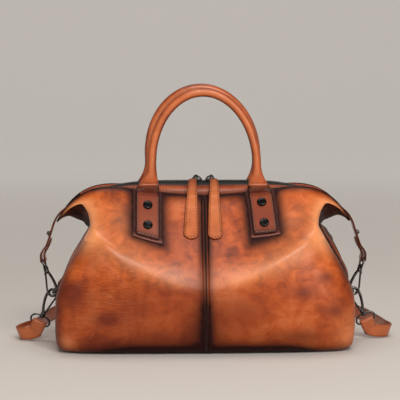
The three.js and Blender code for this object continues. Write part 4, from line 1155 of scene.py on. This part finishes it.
def slider_body(x, top):
    angle = np.arange(24) * 2 * math.pi / 24
    across = np.sign(np.cos(angle)) * np.abs(np.cos(angle)) ** 0.45 * 4.9
    height = np.sign(np.sin(angle)) * np.abs(np.sin(angle)) ** 0.55 * 2.0 + 0.8
    rings = []
    for along, size in SLIDER_SIZES:
        lift = 0.8 + (height - 0.8) * mix(1, size, 0.6)
        rings.append(np.column_stack([np.full(24, x + along), across * size, top + lift]))
    return outward_loft(rings)


def slider_metal(slider):
    x, top = slider["x"], slider_top(slider["x"])
    spine = catmull([[x + a, 0, top + h] for a, h in BAIL], 34)
    wides, ups = strip_frame(spine, BACKWARD)
    bail = strip(spine, wides, ups, 2.6, 1.9)[:2]
    line = pull_line(slider)
    hole = (line[0] + line[1]) / 2
    start = np.array([x, -0.4, top + 5])
    way = unit(hole - start)
    reach = np.linalg.norm(hole - start) / 2 + 0.3
    stand = unit(np.array([0, 0, 1.0]) - way * way[2])
    angle = np.arange(40) * 2 * math.pi / 40
    ring = (start + hole) / 2 + np.outer(reach * np.cos(angle), way) + np.outer(3.1 * np.sin(angle), stand)
    points, faces = joined(slider_body(x, top), bail, tube(ring, 1.15, 12, closed=True))
    name = slider["name"]
    add_piece("slider_metal_" + name, points, faces, gunmetal, "gunmetal", ["zip_slider_" + name])


for slider in SLIDERS:
    slider_metal(slider)
print("slider top:", round(slider_top(9.0), 1), "mm")

# %% Pulls
PULL_STATIONS = 84
PULL_HALVES = (5.0, 10.8)


def drilled(piece, place, way, radius):
    start, end = place - way * 6, place + way * 6
    points, faces = tube(np.array([start, end]), radius, 28)
    mesh = bpy.data.meshes.new("drill")
    mesh.from_pydata((points * MM).tolist(), [], faces)
    cutter = bpy.data.objects.new("drill", mesh)
    bpy.context.scene.collection.objects.link(cutter)
    hole = piece.modifiers.new("hole", "BOOLEAN")
    hole.object, hole.operation, hole.solver = cutter, "DIFFERENCE", "EXACT"
    graph = bpy.context.evaluated_depsgraph_get()
    cut = bpy.data.meshes.new_from_object(piece.evaluated_get(graph))
    piece.modifiers.clear()
    piece.data = cut
    bpy.data.objects.remove(cutter)


def pull_path(slider):
    knots = pull_line(slider)
    fine = catmull(knots, 400)
    gone, reach = distance(fine), distance(knots)
    spread = (1 - np.cos(np.linspace(0, math.pi, PULL_STATIONS))) / 2
    stops = gone[-1] * mix(spread, np.linspace(0, 1, PULL_STATIONS), 0.35)
    widths = np.interp(stops / gone[-1], reach / reach[-1], np.linspace(*PULL_HALVES, len(knots)))
    half = widths * rounded_width(stops, gone[-1], 3.5, 8.5)
    return sampled(fine, gone, stops), half, stops


def zip_pull(slider):
    line, half, stops = pull_path(slider)
    wide, up = strip_frame(line, RIGHTWARD)
    thick = mix(1.8, 2.6, np.clip((stops - 8) / 8, 0, 1)) * np.clip(half / 3, 0.3, 1)
    points, faces, marks = strip(line, wide, up, half, thick)
    height = points[:, 2]
    across = np.abs(points[:, 0] - np.repeat(line[:, 0], len(points) // len(line)))
    inset = np.repeat(half, len(points) // len(line)) - across
    marks["burnish_and_shade"] = 0.3 * bell(height - height.max(), 12) + 0.35 * bell(inset, 1.0)
    marks["rub_and_highlight"] = 0.25 * bell(height - height.mean(), 14)
    name = slider["name"]
    piece = add_piece("leather_pull_" + name, points, faces, pull_leather, "pull_leather",
                      ["zip_pull_" + name], marks=marks)
    shape = pull_line(slider)
    drilled(piece, (shape[0] + shape[1]) / 2, up[4], 2.1)
    return stops[-1]


print("pull lengths:", [round(float(zip_pull(slider)), 1) for slider in SLIDERS], "mm")

# %% [markdown]
# ## Patches, handles and rivets
# A dark patch backs each end of a handle. On it lies a flat tab that narrows into a flare and then into a
# rolled tube, one piece of leather wrapped round a cord and sewn along the inside of the arch. The handle
# is a loft: its rings start as flat boxes on the wall, turn rounder in the flare and end as circles.

# %% Patches
PATCH_HALF = 19.4
PATCH_THICK = 1.6
TAB_HALF = 16.0
TAB_THICK = 2.6
TAB_LIFT = 3.6
TABS = {
    -1: {"level": 0.03, "patch_foot": 9.1, "foot": 9.2, "rivets": {"upper": 11.05, "lower": 9.84}},
    1: {"level": 0.16, "patch_foot": 9.22, "foot": 9.32, "rivets": {"upper": 11.26, "lower": 9.9}},
}


def on_tab(side, offset, v, lift):
    return on_front(tab_middle(side, v) + offset, v - side * TABS[side]["level"] * offset / PATCH_HALF, lift)


def handle_patch(name, node, side, y_sign):
    s = np.linspace(-1, 1, 40)[None, :]
    foot = TABS[side]["patch_foot"]
    v = np.linspace(foot, 12.8, 56)[:, None]
    offset, v = np.broadcast_arrays(s * PATCH_HALF, v)
    points = on_tab(side, offset, v, 0.35 + PATCH_THICK + 0.12 * np.sin(offset / 3.1 + v * 9))
    if y_sign < 0:
        points = (points * TO_BACK)[:, ::-1]
    worn = bell((v - foot) * ROW_MM, 4.5)
    shade = bell(PATCH_HALF - np.abs(offset), 4.0) * np.clip((v - foot) * ROW_MM / 6, 0.3, 1)
    marks = {"rub_and_highlight": 0.7 * worn, "burnish_and_shade": 0.25 + 0.35 * shade, "crease": 0.25}
    add_sheet(name, points, PATCH_THICK + 0.2, patch_leather, "patch_leather", [node], marks)


for side_name, side in (("left", -1), ("right", 1)):
    for face_name, y_sign in (("front", 1), ("back", -1)):
        ending = f"patch_{face_name}_{side_name}"
        handle_patch("leather_" + ending, "handle_" + ending, side, y_sign)
print("patch width:", 2 * PATCH_HALF, "mm")

# %% Handles
TUBE_RADIUS = 6.0
ARCH_Z = 250.0
ARCH_HIGH = 97.0
HANDLE_Y = -30.0
HANDLE_SIDES = 44
ARCH_RINGS = 130
ARCH_ROW = 14.0
FLARE_START = 12.65
FLARE_STEPS = np.linspace(0.04, 0.97, 44)


def outline(square):
    angle = 2 * math.pi * (np.arange(HANDLE_SIDES) + 0.5) / HANDLE_SIDES
    c, d = np.cos(angle), np.sin(angle)
    return np.sign(c) * np.abs(c) ** (2 / square), np.sign(d) * np.abs(d) ** (2 / square)


def tab_rows(side):
    foot = TABS[side]["foot"]
    return np.concatenate([np.linspace(foot + 0.01, foot + 0.2, 9), np.linspace(foot + 0.27, 12.5, 40)])


def tab_rings(side):
    rings = []
    for v in tab_rows(side):
        a, b = outline(6)
        above = v - TABS[side]["foot"]
        size = 0.86 + 0.14 * math.sqrt(1 - (1 - min(above / 0.13, 1)) ** 2)
        body = 0.45 + 0.55 * math.sqrt(1 - (1 - min(above / 0.05, 1)) ** 2)
        lift = TAB_LIFT + b * TAB_THICK / 2 * body
        rings.append(on_tab(side, -side * a * TAB_HALF * size, np.full(a.shape, v), lift))
    return rings


def arch_point(angle, lean):
    up = math.sin(angle)
    x = (lean["half"] - lean["tuck"] * (1 - up) ** 2) * math.cos(angle) + lean["x"] * up
    return np.array([x, HANDLE_Y, ARCH_Z + (ARCH_HIGH + lean["z"]) * up])


def flare_rings(side, lean):
    lower, start = on_tab(side, 0.0, 12.3, TAB_LIFT), on_tab(side, 0.0, FLARE_START, TAB_LIFT)
    end = arch_point(0 if side > 0 else math.pi, lean)
    c0, c1, c2, c3 = start, start + unit(start - lower) * 12, end - np.array([0, 0, 20.0]), end
    rings = []
    for t in FLARE_STEPS:
        centre = (1 - t) ** 3 * c0 + 3 * (1 - t) ** 2 * t * c1 + 3 * (1 - t) * t * t * c2 + t ** 3 * c3
        way = (1 - t) ** 2 * (c1 - c0) + 2 * (1 - t) * t * (c2 - c1) + t * t * (c3 - c2)
        normal = unit(np.cross(RIGHTWARD, way))
        ease = smooth(t)
        a, b = outline(mix(4.5, 2, ease))
        wide, thick = mix(TAB_HALF, TUBE_RADIUS, ease), mix(TAB_THICK / 2, TUBE_RADIUS, ease)
        pinch = 0.9 * bell(t - 0.13, 0.035) - 0.5 * bell(t - 0.24, 0.05) + 0.4 * bell(t - 0.34, 0.03)
        deep = np.outer(b * thick - pinch * np.maximum(b, 0), normal)
        rings.append(centre + np.outer(-side * a * wide, RIGHTWARD) + deep)
    return rings


def arch_rings(lean):
    rings = []
    for angle in np.linspace(0, math.pi, ARCH_RINGS):
        across = unit(np.array([math.cos(angle) / lean["half"], 0, math.sin(angle) / ARCH_HIGH]))
        a, b = outline(2)
        seam = 1 - 0.07 * bell(np.arctan2(b, a), 0.12)
        radius = TUBE_RADIUS * seam * (1 + 0.006 * math.sin(angle * 23 + 2 * math.sin(angle * 7)))
        deep = np.outer(-b * radius, BACKWARD)
        rings.append(arch_point(angle, lean) - np.outer(a * radius, across) + deep)
    return rings


def handle_shape(lean):
    right = tab_rings(1) + flare_rings(1, lean)
    left = tab_rings(-1) + flare_rings(-1, lean)
    rings = np.array(right + arch_rings(lean) + left[::-1])
    for joint in (len(right), len(rings) - len(left)):
        for low, high in ((joint - 50, joint - 36), (joint - 6, joint + 6), (joint + 36, joint + 50)):
            for _ in range(6):
                part = rings[low:high]
                rings[low + 1:high - 1] = (part[:-2] + 2 * part[1:-1] + part[2:]) / 4
    return rings


def handle_rows():
    """The height in rows of every ring, counted on past the wall in the flare, and its tab's foot."""
    flare = FLARE_START + FLARE_STEPS
    right, left = np.concatenate([tab_rows(1), flare]), np.concatenate([tab_rows(-1), flare])
    rows = np.concatenate([right, np.full(ARCH_RINGS, ARCH_ROW), left[::-1]])
    feet = np.where(np.arange(len(rows)) < len(rows) / 2, TABS[1]["foot"], TABS[-1]["foot"])
    return rows, feet


def handle(name, node, lean, y_sign):
    rings = handle_shape(lean)
    points, faces = outward_loft(rings * np.array([1, y_sign, 1]))
    rows, feet = handle_rows()
    off = np.abs(rings[..., 0] - rings[..., 0].mean(1, keepdims=True))
    aside = off / off.max(1, keepdims=True)
    tab = (1 - smooth((rows - 12.5) / 0.4))[:, None]
    flare = (bell(rows - 12.95, 0.22) * (rows < 13.9))[:, None]
    a, b = outline(2)
    turn = np.arctan2(b, a)
    # Painted shade on the inner and outer sides of the tube, so that it reads as round and lit from the
    # front.
    side_shade = 0.75 * bell(turn, 0.85) + 0.6 * bell(np.pi - np.abs(turn), 0.8)
    # A painted highlight down the front and back faces of the tube.
    crown_highlight = 0.55 * bell(np.abs(turn) - np.pi / 2, 0.5) * smooth((rows - 13) / 0.5)[:, None]
    rolled_side_shade = side_shade * smooth((rows - 13.1) / 0.4)[:, None]
    border = np.maximum(smooth((aside - 0.7) / 0.28), bell((rows - feet) * ROW_MM, 5.0)[:, None])
    neck = bell(rows - 12.45, 0.28)[:, None]
    # Painted shade in the crease at the foot of the flare and inside its sides.
    flare_crease_shade = np.clip(0.62 * bell(rows - 12.76, 0.13)[:, None] + 0.55 * flare * aside ** 3, 0, 0.8)
    burnish_and_shade = 1 - (1 - 0.8 * border * tab) * (1 - 0.7 * neck) * (1 - rolled_side_shade) * (1 - 0.2 * tab) * (1 - flare_crease_shade)
    # The pale mark also paints a highlight on the outer edges of the flare.
    marks = {"rim": 0.5 * tab * aside ** 12, "rub_and_highlight": 0.5 * flare * aside ** 14 + crown_highlight, "burnish_and_shade": burnish_and_shade,
             "stain": 0.7 * tab, "crease": 0.8 * flare}
    marks = {label: np.broadcast_to(values, aside.shape).ravel() for label, values in marks.items()}
    add_piece(name, points, faces, handle_leather, "leather", [node], marks=marks)
    return rings


FRONT_LEAN = {"half": 71.3, "tuck": 0.0, "x": -2.0, "z": 0.0}
BACK_LEAN = {"half": 78.0, "tuck": 3.0, "x": -3.0, "z": 4.0}
front_handle_rings = handle("leather_handle_front", "handle_front", FRONT_LEAN, 1)
back_handle_rings = handle("leather_handle_back", "handle_back", BACK_LEAN, -1)
print("handle rings:", len(front_handle_rings))

# %% [markdown]
# The rivets are turned caps: a flat collar, a fine groove and a low dome that mirrors the lamps.

# %% Rivets
RIVET_PROFILE = [(0.05, 0), (5.9, 0), (6.3, 0.2), (6.4, 0.6), (6.4, 1.2), (6.3, 1.6), (6.05, 2.0), (5.6, 2.4),
                 (5.1, 2.72), (4.7, 2.86), (4.4, 2.86), (4.1, 2.72), (3.8, 2.68), (2.0, 2.68), (0.05, 2.68)]


def stud_place(foot, normal):
    first = unit(np.cross(normal, [0.0, 1.0, 0.3]))
    second = np.cross(normal, first)
    return lambda h, c, s: foot + np.outer(h, normal) + np.outer(c, first) + np.outer(s, second)


def rivet(name, node, side, v, y_sign):
    x = float(tab_middle(side, v))
    foot = on_front(x, v, TAB_LIFT + TAB_THICK / 2 + 0.1)
    normal = unit(on_front(x, v, 30.0) - on_front(x, v, 0.0))
    part = turned(RIVET_PROFILE, stud_place(foot, normal), 40)
    points, faces = mirrored(part, "y") if y_sign < 0 else part
    add_piece(name, points, faces, rivet_black, "gunmetal", [node])


for side_name, side in (("left", -1), ("right", 1)):
    for place_name, row in TABS[side]["rivets"].items():
        for face_name, y_sign in (("front", 1), ("back", -1)):
            ending = f"{face_name}_{side_name}_{place_name}"
            rivet("rivet_cap_" + ending, "rivet_" + ending, side, row, y_sign)

# %% [markdown]
# ## Hooks, rings and eyes
# On each side a loop sewn to the gusset holds a D-ring. Two snap hooks meet in it: one pulls the wing down
# and one carries the shoulder strap. A hook is a bent bar with a turned collar that swivels in an eye, and
# a straight gate that closes its mouth and turns on a knuckle. All of it is made for the right side, in a
# small frame of its own with `along` running from the eye to the hook's tip, and mirrored to the left. The
# four gates ride on the bodies that their hinges turn, so they swing with the joints.

# %% Hook frames
WIRE = 1.9
D_WIRE = 1.7
EYE_WIRE = 1.35
EYE_DEEP = 13.0
SEAT = 34.9
RING_REACH = 17.0
D_BAR = np.array([198.5, 0.0, 81.0])
D_LEAN = unit(np.array([0.66, 0.0, -0.75]))
STRAP_AXIS = unit(np.array([-0.42, 0.0, 0.908]))
STRAP_BAR = unit(np.array([-0.908, 0.0, -0.42]))


def hook_frame(axis, lean, y):
    seat = D_BAR + D_LEAN * RING_REACH
    seat[1] = y
    origin = seat - axis * SEAT

    def place(along, across, deep):
        spot = origin + np.multiply.outer(along, axis) + np.multiply.outer(across, lean)
        return spot + np.multiply.outer(deep, BACKWARD)

    return place


wing_place = hook_frame(unit(np.array([-0.26, 0, -0.966])), unit(np.array([-0.966, 0, 0.26])), -2.2)
strap_place = hook_frame(STRAP_AXIS, unit(np.array([0.908, 0, 0.42])), 2.4)
print("hooks meet at", np.round(D_BAR + D_LEAN * RING_REACH, 1), "mm")

# %% Metal pieces
HOOK_BEND = np.array([[4, 1.2], [9, 3.6], [17, 6], [26, 7.4], [33, 6.6], [37.6, 3.8], [39.2, 0], [37.4, -4.2],
                      [33.6, -6.5], [31.3, -7.0]]) * [1, 0.9]
COLLAR = [(0.05, -4.6), (2.6, -4.6), (2.9, -4.3), (2.9, -3.7), (2.6, -3.4), (1.3, -3.4), (1.3, 0), (3.3, 0),
          (3.6, 0.3), (3.6, 1.9), (3.3, 2.2), (3.3, 2.6), (3.6, 2.9), (3.6, 4.4), (3.2, 5.2), (2.4, 6),
          (0.05, 6)]
EYE_LOOP = [[-1.7, 0], [-2.2, 6], [-4, 11], [-7.5, 13.4], [-11, 13.2], [-13, 11.6], [-13, 0]]
EYE_BOSS = [(1.65, -3.05), (3.3, -3.05), (3.6, -2.75), (3.6, -0.65), (3.3, -0.35), (1.65, -0.35)]
GATE_PIVOT = (6.6, -2.4)
GATE_TIP = (28.4, -6.4)
GATE_WIRE = 1.33
KNUCKLE = 1.95


def hook(place):
    bend = catmull(place(HOOK_BEND[:, 0], HOOK_BEND[:, 1], np.zeros(len(HOOK_BEND))), 70)
    radius = WIRE * (1 + 0.1 * bell(np.linspace(0, 1, 70) - 0.55, 0.2))
    knuckle = place(np.full(2, GATE_PIVOT[0]), np.full(2, GATE_PIVOT[1]), np.array([-2.5, 2.5]))
    pin = tube(knuckle, KNUCKLE, 18, round_ends=True)
    return joined(turned(COLLAR, place, 28), tube(bend, radius, 14, round_ends=True), pin)


def gate(place):
    share = np.linspace(0, 1, 16)
    line = place(mix(GATE_PIVOT[0], GATE_TIP[0], share), mix(GATE_PIVOT[1], GATE_TIP[1], share), np.zeros(16))
    return tube(line, GATE_WIRE, 14, round_ends=True)


def eye(place, bar):
    half = EYE_LOOP + [[a, -b] for a, b in EYE_LOOP[1:-1][::-1]]
    line = np.array([place(a, 0.0, 0.0) + bar * b for a, b in half])
    angle = np.arange(28) * 2 * math.pi / 28
    rings = [place(np.full(28, h), r * np.cos(angle), r * np.sin(angle)) for r, h in EYE_BOSS]
    wire = tube(catmull(line, 96, closed=True), EYE_WIRE, 12, closed=True)
    return joined(wire, outward_loft(rings, closed=True))


def d_ring():
    angle = np.linspace(-math.pi / 2, math.pi / 2, 25)
    arc = D_BAR + np.outer(4 + 13 * np.cos(angle), D_LEAN) + np.outer(11 * np.sin(angle), BACKWARD)
    bar = D_BAR + np.outer(11 * np.array([0.9, 0.45, 0, -0.45, -0.9]), BACKWARD)
    return tube(catmull(np.concatenate([arc, bar]), 96, closed=True), D_WIRE, 14, closed=True)


def both_sides(name, node, part, material, slot, rides=None):
    for side_name, made in (("right", part), ("left", mirrored(part, "x"))):
        body = f"{rides}_{side_name}" if rides else "bag"
        add_piece(f"{name}_{side_name}", *made, material, slot, [f"{node}_{side_name}"], body)


both_sides("d_ring_metal", "side_d_ring", d_ring(), gunmetal, "gunmetal")
for label, place, bar in (("wing", wing_place, BACKWARD), ("strap", strap_place, STRAP_BAR)):
    both_sides(f"{label}_hook_metal", f"{label}_hook", hook(place), gunmetal, "gunmetal")
    both_sides(f"{label}_gate_metal", f"{label}_gate", gate(place), gunmetal, "gunmetal", f"{label}_gate")
    both_sides(f"{label}_eye_metal", f"{label}_eye", eye(place, bar), gunmetal, "gunmetal")

# %% [markdown]
# ## Wing tabs, ring loops and studs
# A tab comes out of each end of the mouth, bends over the wing's tip, runs down and wraps round the eye.
# The loop that holds the D-ring is a shorter strip, folded round the ring's bar and sewn to the gusset.

# %% Tabs, loops and studs
TAB_WIDE = 17.0
WING_TAB_THICK, LOOP_THICK = 2.4, 2.0
STUD_PROFILE = [(0.05, 0), (3.8, 0), (4.0, 0.3), (4.0, 1.0), (3.6, 1.35), (3.0, 1.5), (2.7, 2.0), (2.9, 2.7),
                (2.8, 3.4), (2.0, 3.9), (1.0, 4.1), (0.05, 4.15)]


def wing_tab_line():
    bar = wing_place(-EYE_DEEP, 0.0, 0.0)
    path = [[172, 198], [182, 192.6], [191, 186.4], [199.6, 178.8], [206.2, 168], [209.8, 157], [213.5, 146],
            [217.6, 135], [bar[0] + 2.6, bar[2] + 9]]
    for angle in 0.25 - (math.pi + 0.35) * np.linspace(0, 1, 7):
        path.append([bar[0] + 2.95 * math.cos(angle), bar[2] + 2.95 * math.sin(angle)])
    path += [[bar[0] - 1.7, bar[2] + 8.5], [214.4, 134.8], [210.6, 144.8]]
    return catmull([[x, -2.2, z] for x, z in path], 150)


def loop_line():
    rows = np.linspace(3.5, 6, 201)
    heights = section(rows)["side_z"]

    def on_gusset(z, lift):
        v = rows[np.argmin(np.abs(heights - z))]
        spot, above = gusset_wall(0.0, v, 0.0), gusset_wall(0.0, v + 0.01, 0.0)
        return spot + unit(np.cross([0.0, 1.0, 0.0], above - spot)) * lift

    path = [on_gusset(z, 1.5) for z in (111, 104, 96, 90)]
    for angle in math.pi * (1 + 1.12 * np.linspace(0, 1, 8)):
        path.append(D_BAR + 3.05 * np.array([math.cos(angle), 0, math.sin(angle)]))
    path += [on_gusset(z, 4.55 if z < 95 else 3.85) for z in (91, 97, 104, 110)]
    return catmull(path, 110)


def leather_tab(name, node, line, thick, wide):
    wides, ups = strip_frame(line, BACKWARD)
    gone = distance(line)
    half = wide / 2 * np.maximum(rounded_width(gone, gone[-1], 3, 3), 0.6)
    points, faces, marks = strip(line, wides, ups, half, thick)
    marks["burnish_and_shade"] = 0.3 + 0.25 * marks["rim"]
    marks["rub_and_highlight"] = 0.35 * np.clip(marks["top"], 0, 1)
    for side_name, made in (("right", (points, faces)), ("left", mirrored((points, faces), "x"))):
        stands_for = [f"{node}_{side_name}"]
        add_piece(f"{name}_{side_name}", *made, handle_leather, "leather", stands_for, marks=marks)
    return line, wides, ups


wing_tab = leather_tab("leather_wing_tab", "wing_tab", wing_tab_line(), WING_TAB_THICK, TAB_WIDE)
ring_loop = leather_tab("leather_ring_loop", "side_loop", loop_line(), LOOP_THICK, TAB_WIDE)
stud_way = unit(np.array([11.0, 0.0, 3.65]))
stud_foot = np.array([211.75, -2.2, 151.2]) + stud_way * 1.3
stud = turned(STUD_PROFILE, stud_place(stud_foot, stud_way), 30)
both_sides("stud_metal", "tab_stud", stud, gunmetal, "gunmetal")
print("wing tab length:", round(float(distance(wing_tab[0])[-1])), "mm")

# %% [markdown]
# ## Shoulder strap
# The strap stands on edge on the floor and runs the plain way round behind the bag, from one hook to the
# other. Near its ends it leans over to lie flat in the eyes, and the fold behind each eye is sewn to the
# strap. The line is the same smooth curve that the solid follows.

# %% Shoulder strap
STRAP_HALF = 10.0
STRAP_THICK = 2.6
STRAP_Z = 10.3
STRAP_ROUTE = [(-258, 6), (-255, 26), (-243, 50), (-233, 84), (-226, 128), (-204, 184), (-150, 238),
               (-76, 268), (0, 276), (80, 264), (158, 230), (217, 178), (244, 122), (254, 74), (260, 36),
               (262, 8)]
DOWN = np.array([0.0, 0.0, -1.0])


def strap_end(side):
    flip = np.array([side, 1.0, 1.0])
    bar, wide, travel = strap_place(-EYE_DEEP, 0.0, 0.0) * flip, STRAP_BAR * flip, -STRAP_AXIS * flip
    close = STRAP_THICK / 2 + 0.25
    spots = [(20, -close), (13, -close - 0.3), (6, -close - 1.1)]
    spots += [(3.1 * math.cos(a), 3.1 * math.sin(a)) for a in -math.pi / 2 - math.pi * np.linspace(0, 1, 7)]
    spots += [(6, close + 1.1), (12, close + 0.4)]
    line = catmull([bar + travel * along - np.array([0, up, 0]) for along, up in spots], 64)
    return line, wide * np.sign(wide @ DOWN)


def strap_stations():
    left, left_wide = strap_end(-1)
    right, right_wide = strap_end(1)
    upright = np.array([[x, y, STRAP_Z] for x, y in STRAP_ROUTE])
    sag = np.array([0, -3.5, -0.8])
    leave, arrive = (left[-1] + upright[0]) / 2 + sag, (right[-1] + upright[-1]) / 2 + sag
    run = catmull([left[-1], leave, *upright, arrive, right[-1]], 330)[1:-1]
    gone = distance(np.concatenate([left[-1:], run]))[1:]
    nearest = np.minimum(gone, gone[-1] - gone)
    stood = (np.minimum(1, nearest / 46) ** 0.8)[:, None]
    origin = np.where((gone < gone[-1] / 2)[:, None], left_wide, right_wide)
    ends = [np.broadcast_to(wide, left.shape) for wide in (left_wide, right_wide)]
    wides = np.concatenate([ends[0], unit(mix(origin, DOWN, stood)), ends[1]])
    return np.concatenate([left, run, right[::-1]]), wides


strap_line, strap_wide = strap_stations()
strap_wide, strap_up = strip_frame(strap_line, strap_wide)
strap_gone = distance(strap_line)
strap_half = STRAP_HALF * np.maximum(rounded_width(strap_gone, strap_gone[-1], 4, 4), 0.55)
strap_points, strap_faces, strap_marks = strip(strap_line, strap_wide, strap_up, strap_half, STRAP_THICK)
strap_marks["burnish_and_shade"] = np.clip(0.2 + 0.25 * strap_marks["rim"], 0, 1)
strap_marks["rub_and_highlight"] = 0.4 * np.clip(strap_marks["top"], 0, 1)
add_piece("leather_shoulder_strap", strap_points, strap_faces, handle_leather, "leather", ["shoulder_strap"],
          marks=strap_marks)
print("strap length:", round(float(strap_gone[-1])), "mm")

# %% [markdown]
# ## Stitches
# Every seam is sewn with waxed thread. One stitch is a short bar that dives into the leather at both ends.
# `sew` walks along a seam, spaces the stitches evenly and tilts each one a little, as a saddle stitch lies.
# The centre seam is different: a ladder of short stitches crosses it from wall to wall.

# %% Stitch helper
STITCH_PITCH, STITCH_TILT = 4.1, 0.13
SHORT_STITCH = {"half": 0.95, "radius": 0.7}
# Each ring of a stitch has a place along it, a size and a drop into the leather.
STITCH_RINGS = [(-1, 0.4, 0.4), (-0.76, 0.85, 0.08), (0, 1, 0), (0.76, 0.85, 0.08), (1, 0.4, 0.4)]


def stitch(half, radius):
    angle = np.arange(6) * math.pi / 3
    rings = []
    for share, size, drop in STITCH_RINGS:
        across, high = radius * size * np.cos(angle), radius * size * np.sin(angle) - drop
        rings.append(np.column_stack([np.full(6, share * half), across, high]))
    return outward_loft(rings)


def sew(line, normals, lift=0.05, pitch=STITCH_PITCH, half=1.45, radius=0.58):
    gone = distance(line)
    count = max(int(gone[-1] / pitch), 1)
    stops = (np.arange(count) + 0.5) * gone[-1] / count
    aways = unit(sampled(line, gone, stops + 0.6) - sampled(line, gone, stops - 0.6))
    ups = sampled(normals, gone, stops)
    ups = unit(ups - aways * (ups * aways).sum(1, keepdims=True))
    leaning = aways * math.cos(STITCH_TILT) + np.cross(ups, aways) * math.sin(STITCH_TILT)
    origins = sampled(line, gone, stops) + ups * lift
    return scatter(stitch(half, radius), origins, leaning, np.cross(ups, leaning), ups)


def sew_both(spots, ways, **size):
    """The same seam in front and behind."""
    return [sew(spots, ways, **size), sew(spots * TO_BACK, ways * TO_BACK, **size)]


def add_stitches(name, runs, material=thread):
    points, faces = joined(*runs)
    add_piece(name, points, faces, material, "thread")
    return len(points) // STITCH_POINTS


STITCH_POINTS = len(stitch(1, 1)[0])
print("one stitch:", STITCH_POINTS, "points")

# %% Body seams
SEAM_INSET = 4.0
SEWN_ROWS = slice(8, 70)


def seam_beside_edge(points):
    """The line on a wall that keeps its inset from the side seam, with its normals."""
    normals = grid_normals(points)
    spots, ways = [], []
    for row, row_normals in zip(points[SEWN_ROWS, ::-1], normals[SEWN_ROWS, ::-1]):
        gone = distance(row)
        spots += list(sampled(row, gone, [SEAM_INSET]))
        ways += list(sampled(row_normals, gone, [SEAM_INSET]))
    return np.array(spots), np.array(ways)


def ladder(first, second):
    """Short stitches laid across the centre seam between two walls."""
    line = resampled((first[6:-1, 0] + second[6:-1, 0]) / 2, 84)
    aways = np.broadcast_to(RIGHTWARD, line.shape)
    ups = unit(np.cross(aways, tangents(line)))
    ups = ups * np.sign(ups[:, 1:2] * line[:, 1:2])
    return scatter(stitch(2.4, 0.3), line + ups * 0.3, aways, np.cross(ups, aways), ups)


body_runs = [ladder(walls[0], walls[1]), ladder(walls[2], walls[3])]
for wall in walls:
    flip = 1.0 if wall[0, -1, 0] * wall[0, 0, 1] < 0 else -1.0
    spots, ways = seam_beside_edge(wall)
    body_runs.append(sew(spots, ways * flip))
band_normals = grid_normals(band)
for row in (6, 13):
    body_runs += sew_both(band[row, 2:-2], band_normals[row, 2:-2], **SHORT_STITCH)
print("body stitches:", add_stitches("stitches_body", body_runs))

# %% Stitches on tabs, patches, pulls and straps
TAB_TOP = TAB_LIFT + TAB_THICK / 2
SIDE_LINE, FOOT_LINE, PATCH_LINE = 13.6, 13.2, 17.8
PATCH_TOP = 1.97
HANDLE_SEAM = slice(95, -95)


def tab_run(side, offsets, rows, lift):
    offsets, rows = np.broadcast_arrays(np.asarray(offsets, float), np.asarray(rows, float))
    spots = on_tab(side, offsets, rows, lift)
    return spots, on_tab(side, offsets, rows, lift + 1) - spots


tab_runs, foot_runs = [], []
level = np.linspace(-1, 1, 30)
for side in (-1, 1):
    foot = TABS[side]["foot"]
    tab_heights, patch_heights = np.linspace(foot + 0.2, 12.1, 60), np.linspace(foot, 12.6, 60)
    lines = [tab_run(side, sign * SIDE_LINE, tab_heights, TAB_TOP) for sign in (-1, 1)]
    lines.append(tab_run(side, level * FOOT_LINE, foot + 0.12, TAB_TOP))
    dark_lines = [tab_run(side, sign * PATCH_LINE, patch_heights, PATCH_TOP) for sign in (-1, 1)]
    dark_lines.append(tab_run(side, level * FOOT_LINE, 12.02, TAB_TOP))
    for spots, ways in dark_lines:
        tab_runs += sew_both(spots, ways)
    for spots, ways in lines:
        foot_runs += sew_both(spots, ways)
for rings, y_sign in ((front_handle_rings, 1), (back_handle_rings, -1)):
    face = np.array([1, y_sign, 1])
    spots = rings[HANDLE_SEAM, 2] * face
    tab_runs.append(sew(spots, spots - rings[HANDLE_SEAM].mean(1) * face))
print("handle stitches:", add_stitches("stitches_handles", tab_runs))
print("worn stitches:", add_stitches("stitches_worn", foot_runs, worn_thread))


def pull_run(slider, inset):
    """The seam that keeps its inset from a pull's edge, down one side and up the other."""
    line, half, stops = pull_path(slider)
    wide, up = strip_frame(line, RIGHTWARD)
    slope = np.gradient(half, stops)
    size = np.sqrt(1 + slope ** 2)
    across, along = half - inset / size, stops + inset * slope / size
    keep = (across > 0.4) & (stops > 5)
    across, along = across[keep], along[keep]
    order = np.argsort(along)
    across, along = across[order], along[order]
    middle, wide, up = [sampled(values, stops, along) for values in (line, wide, up)]
    lift = 0.9 + 0.4 * np.clip((along - 8) / 8, 0, 1)
    sides = [middle + wide * (sign * across)[:, None] + up * lift[:, None] for sign in (1, -1)]
    return np.concatenate([sides[0], sides[1][::-1]]), np.concatenate([up, up[::-1]])


def strip_runs(line, wides, ups, offset, lift):
    """Seams along both edges of a strip, on both of its faces."""
    made = []
    for face in (1, -1):
        for sign in (-1, 1):
            spots = line + wides * offset * sign + ups * lift * face
            made.append(sew(spots, ups * face, lift=-0.1, radius=0.42))
    return made


strap_runs = [sew(*pull_run(slider, 2.5), pitch=4.2, **SHORT_STITCH) for slider in SLIDERS]
strap_shape = [values[3:-3] for values in (strap_line, strap_wide, strap_up)]
strap_runs += strip_runs(*strap_shape, 7.7, STRAP_THICK / 2)
for shape, thick in ((wing_tab, WING_TAB_THICK), (ring_loop, LOOP_THICK)):
    for run in strip_runs(*[values[4:-4] for values in shape], 6.3, thick / 2):
        strap_runs += [run, mirrored(run, "x")]
print("strap and pull stitches:", add_stitches("stitches_straps", strap_runs))
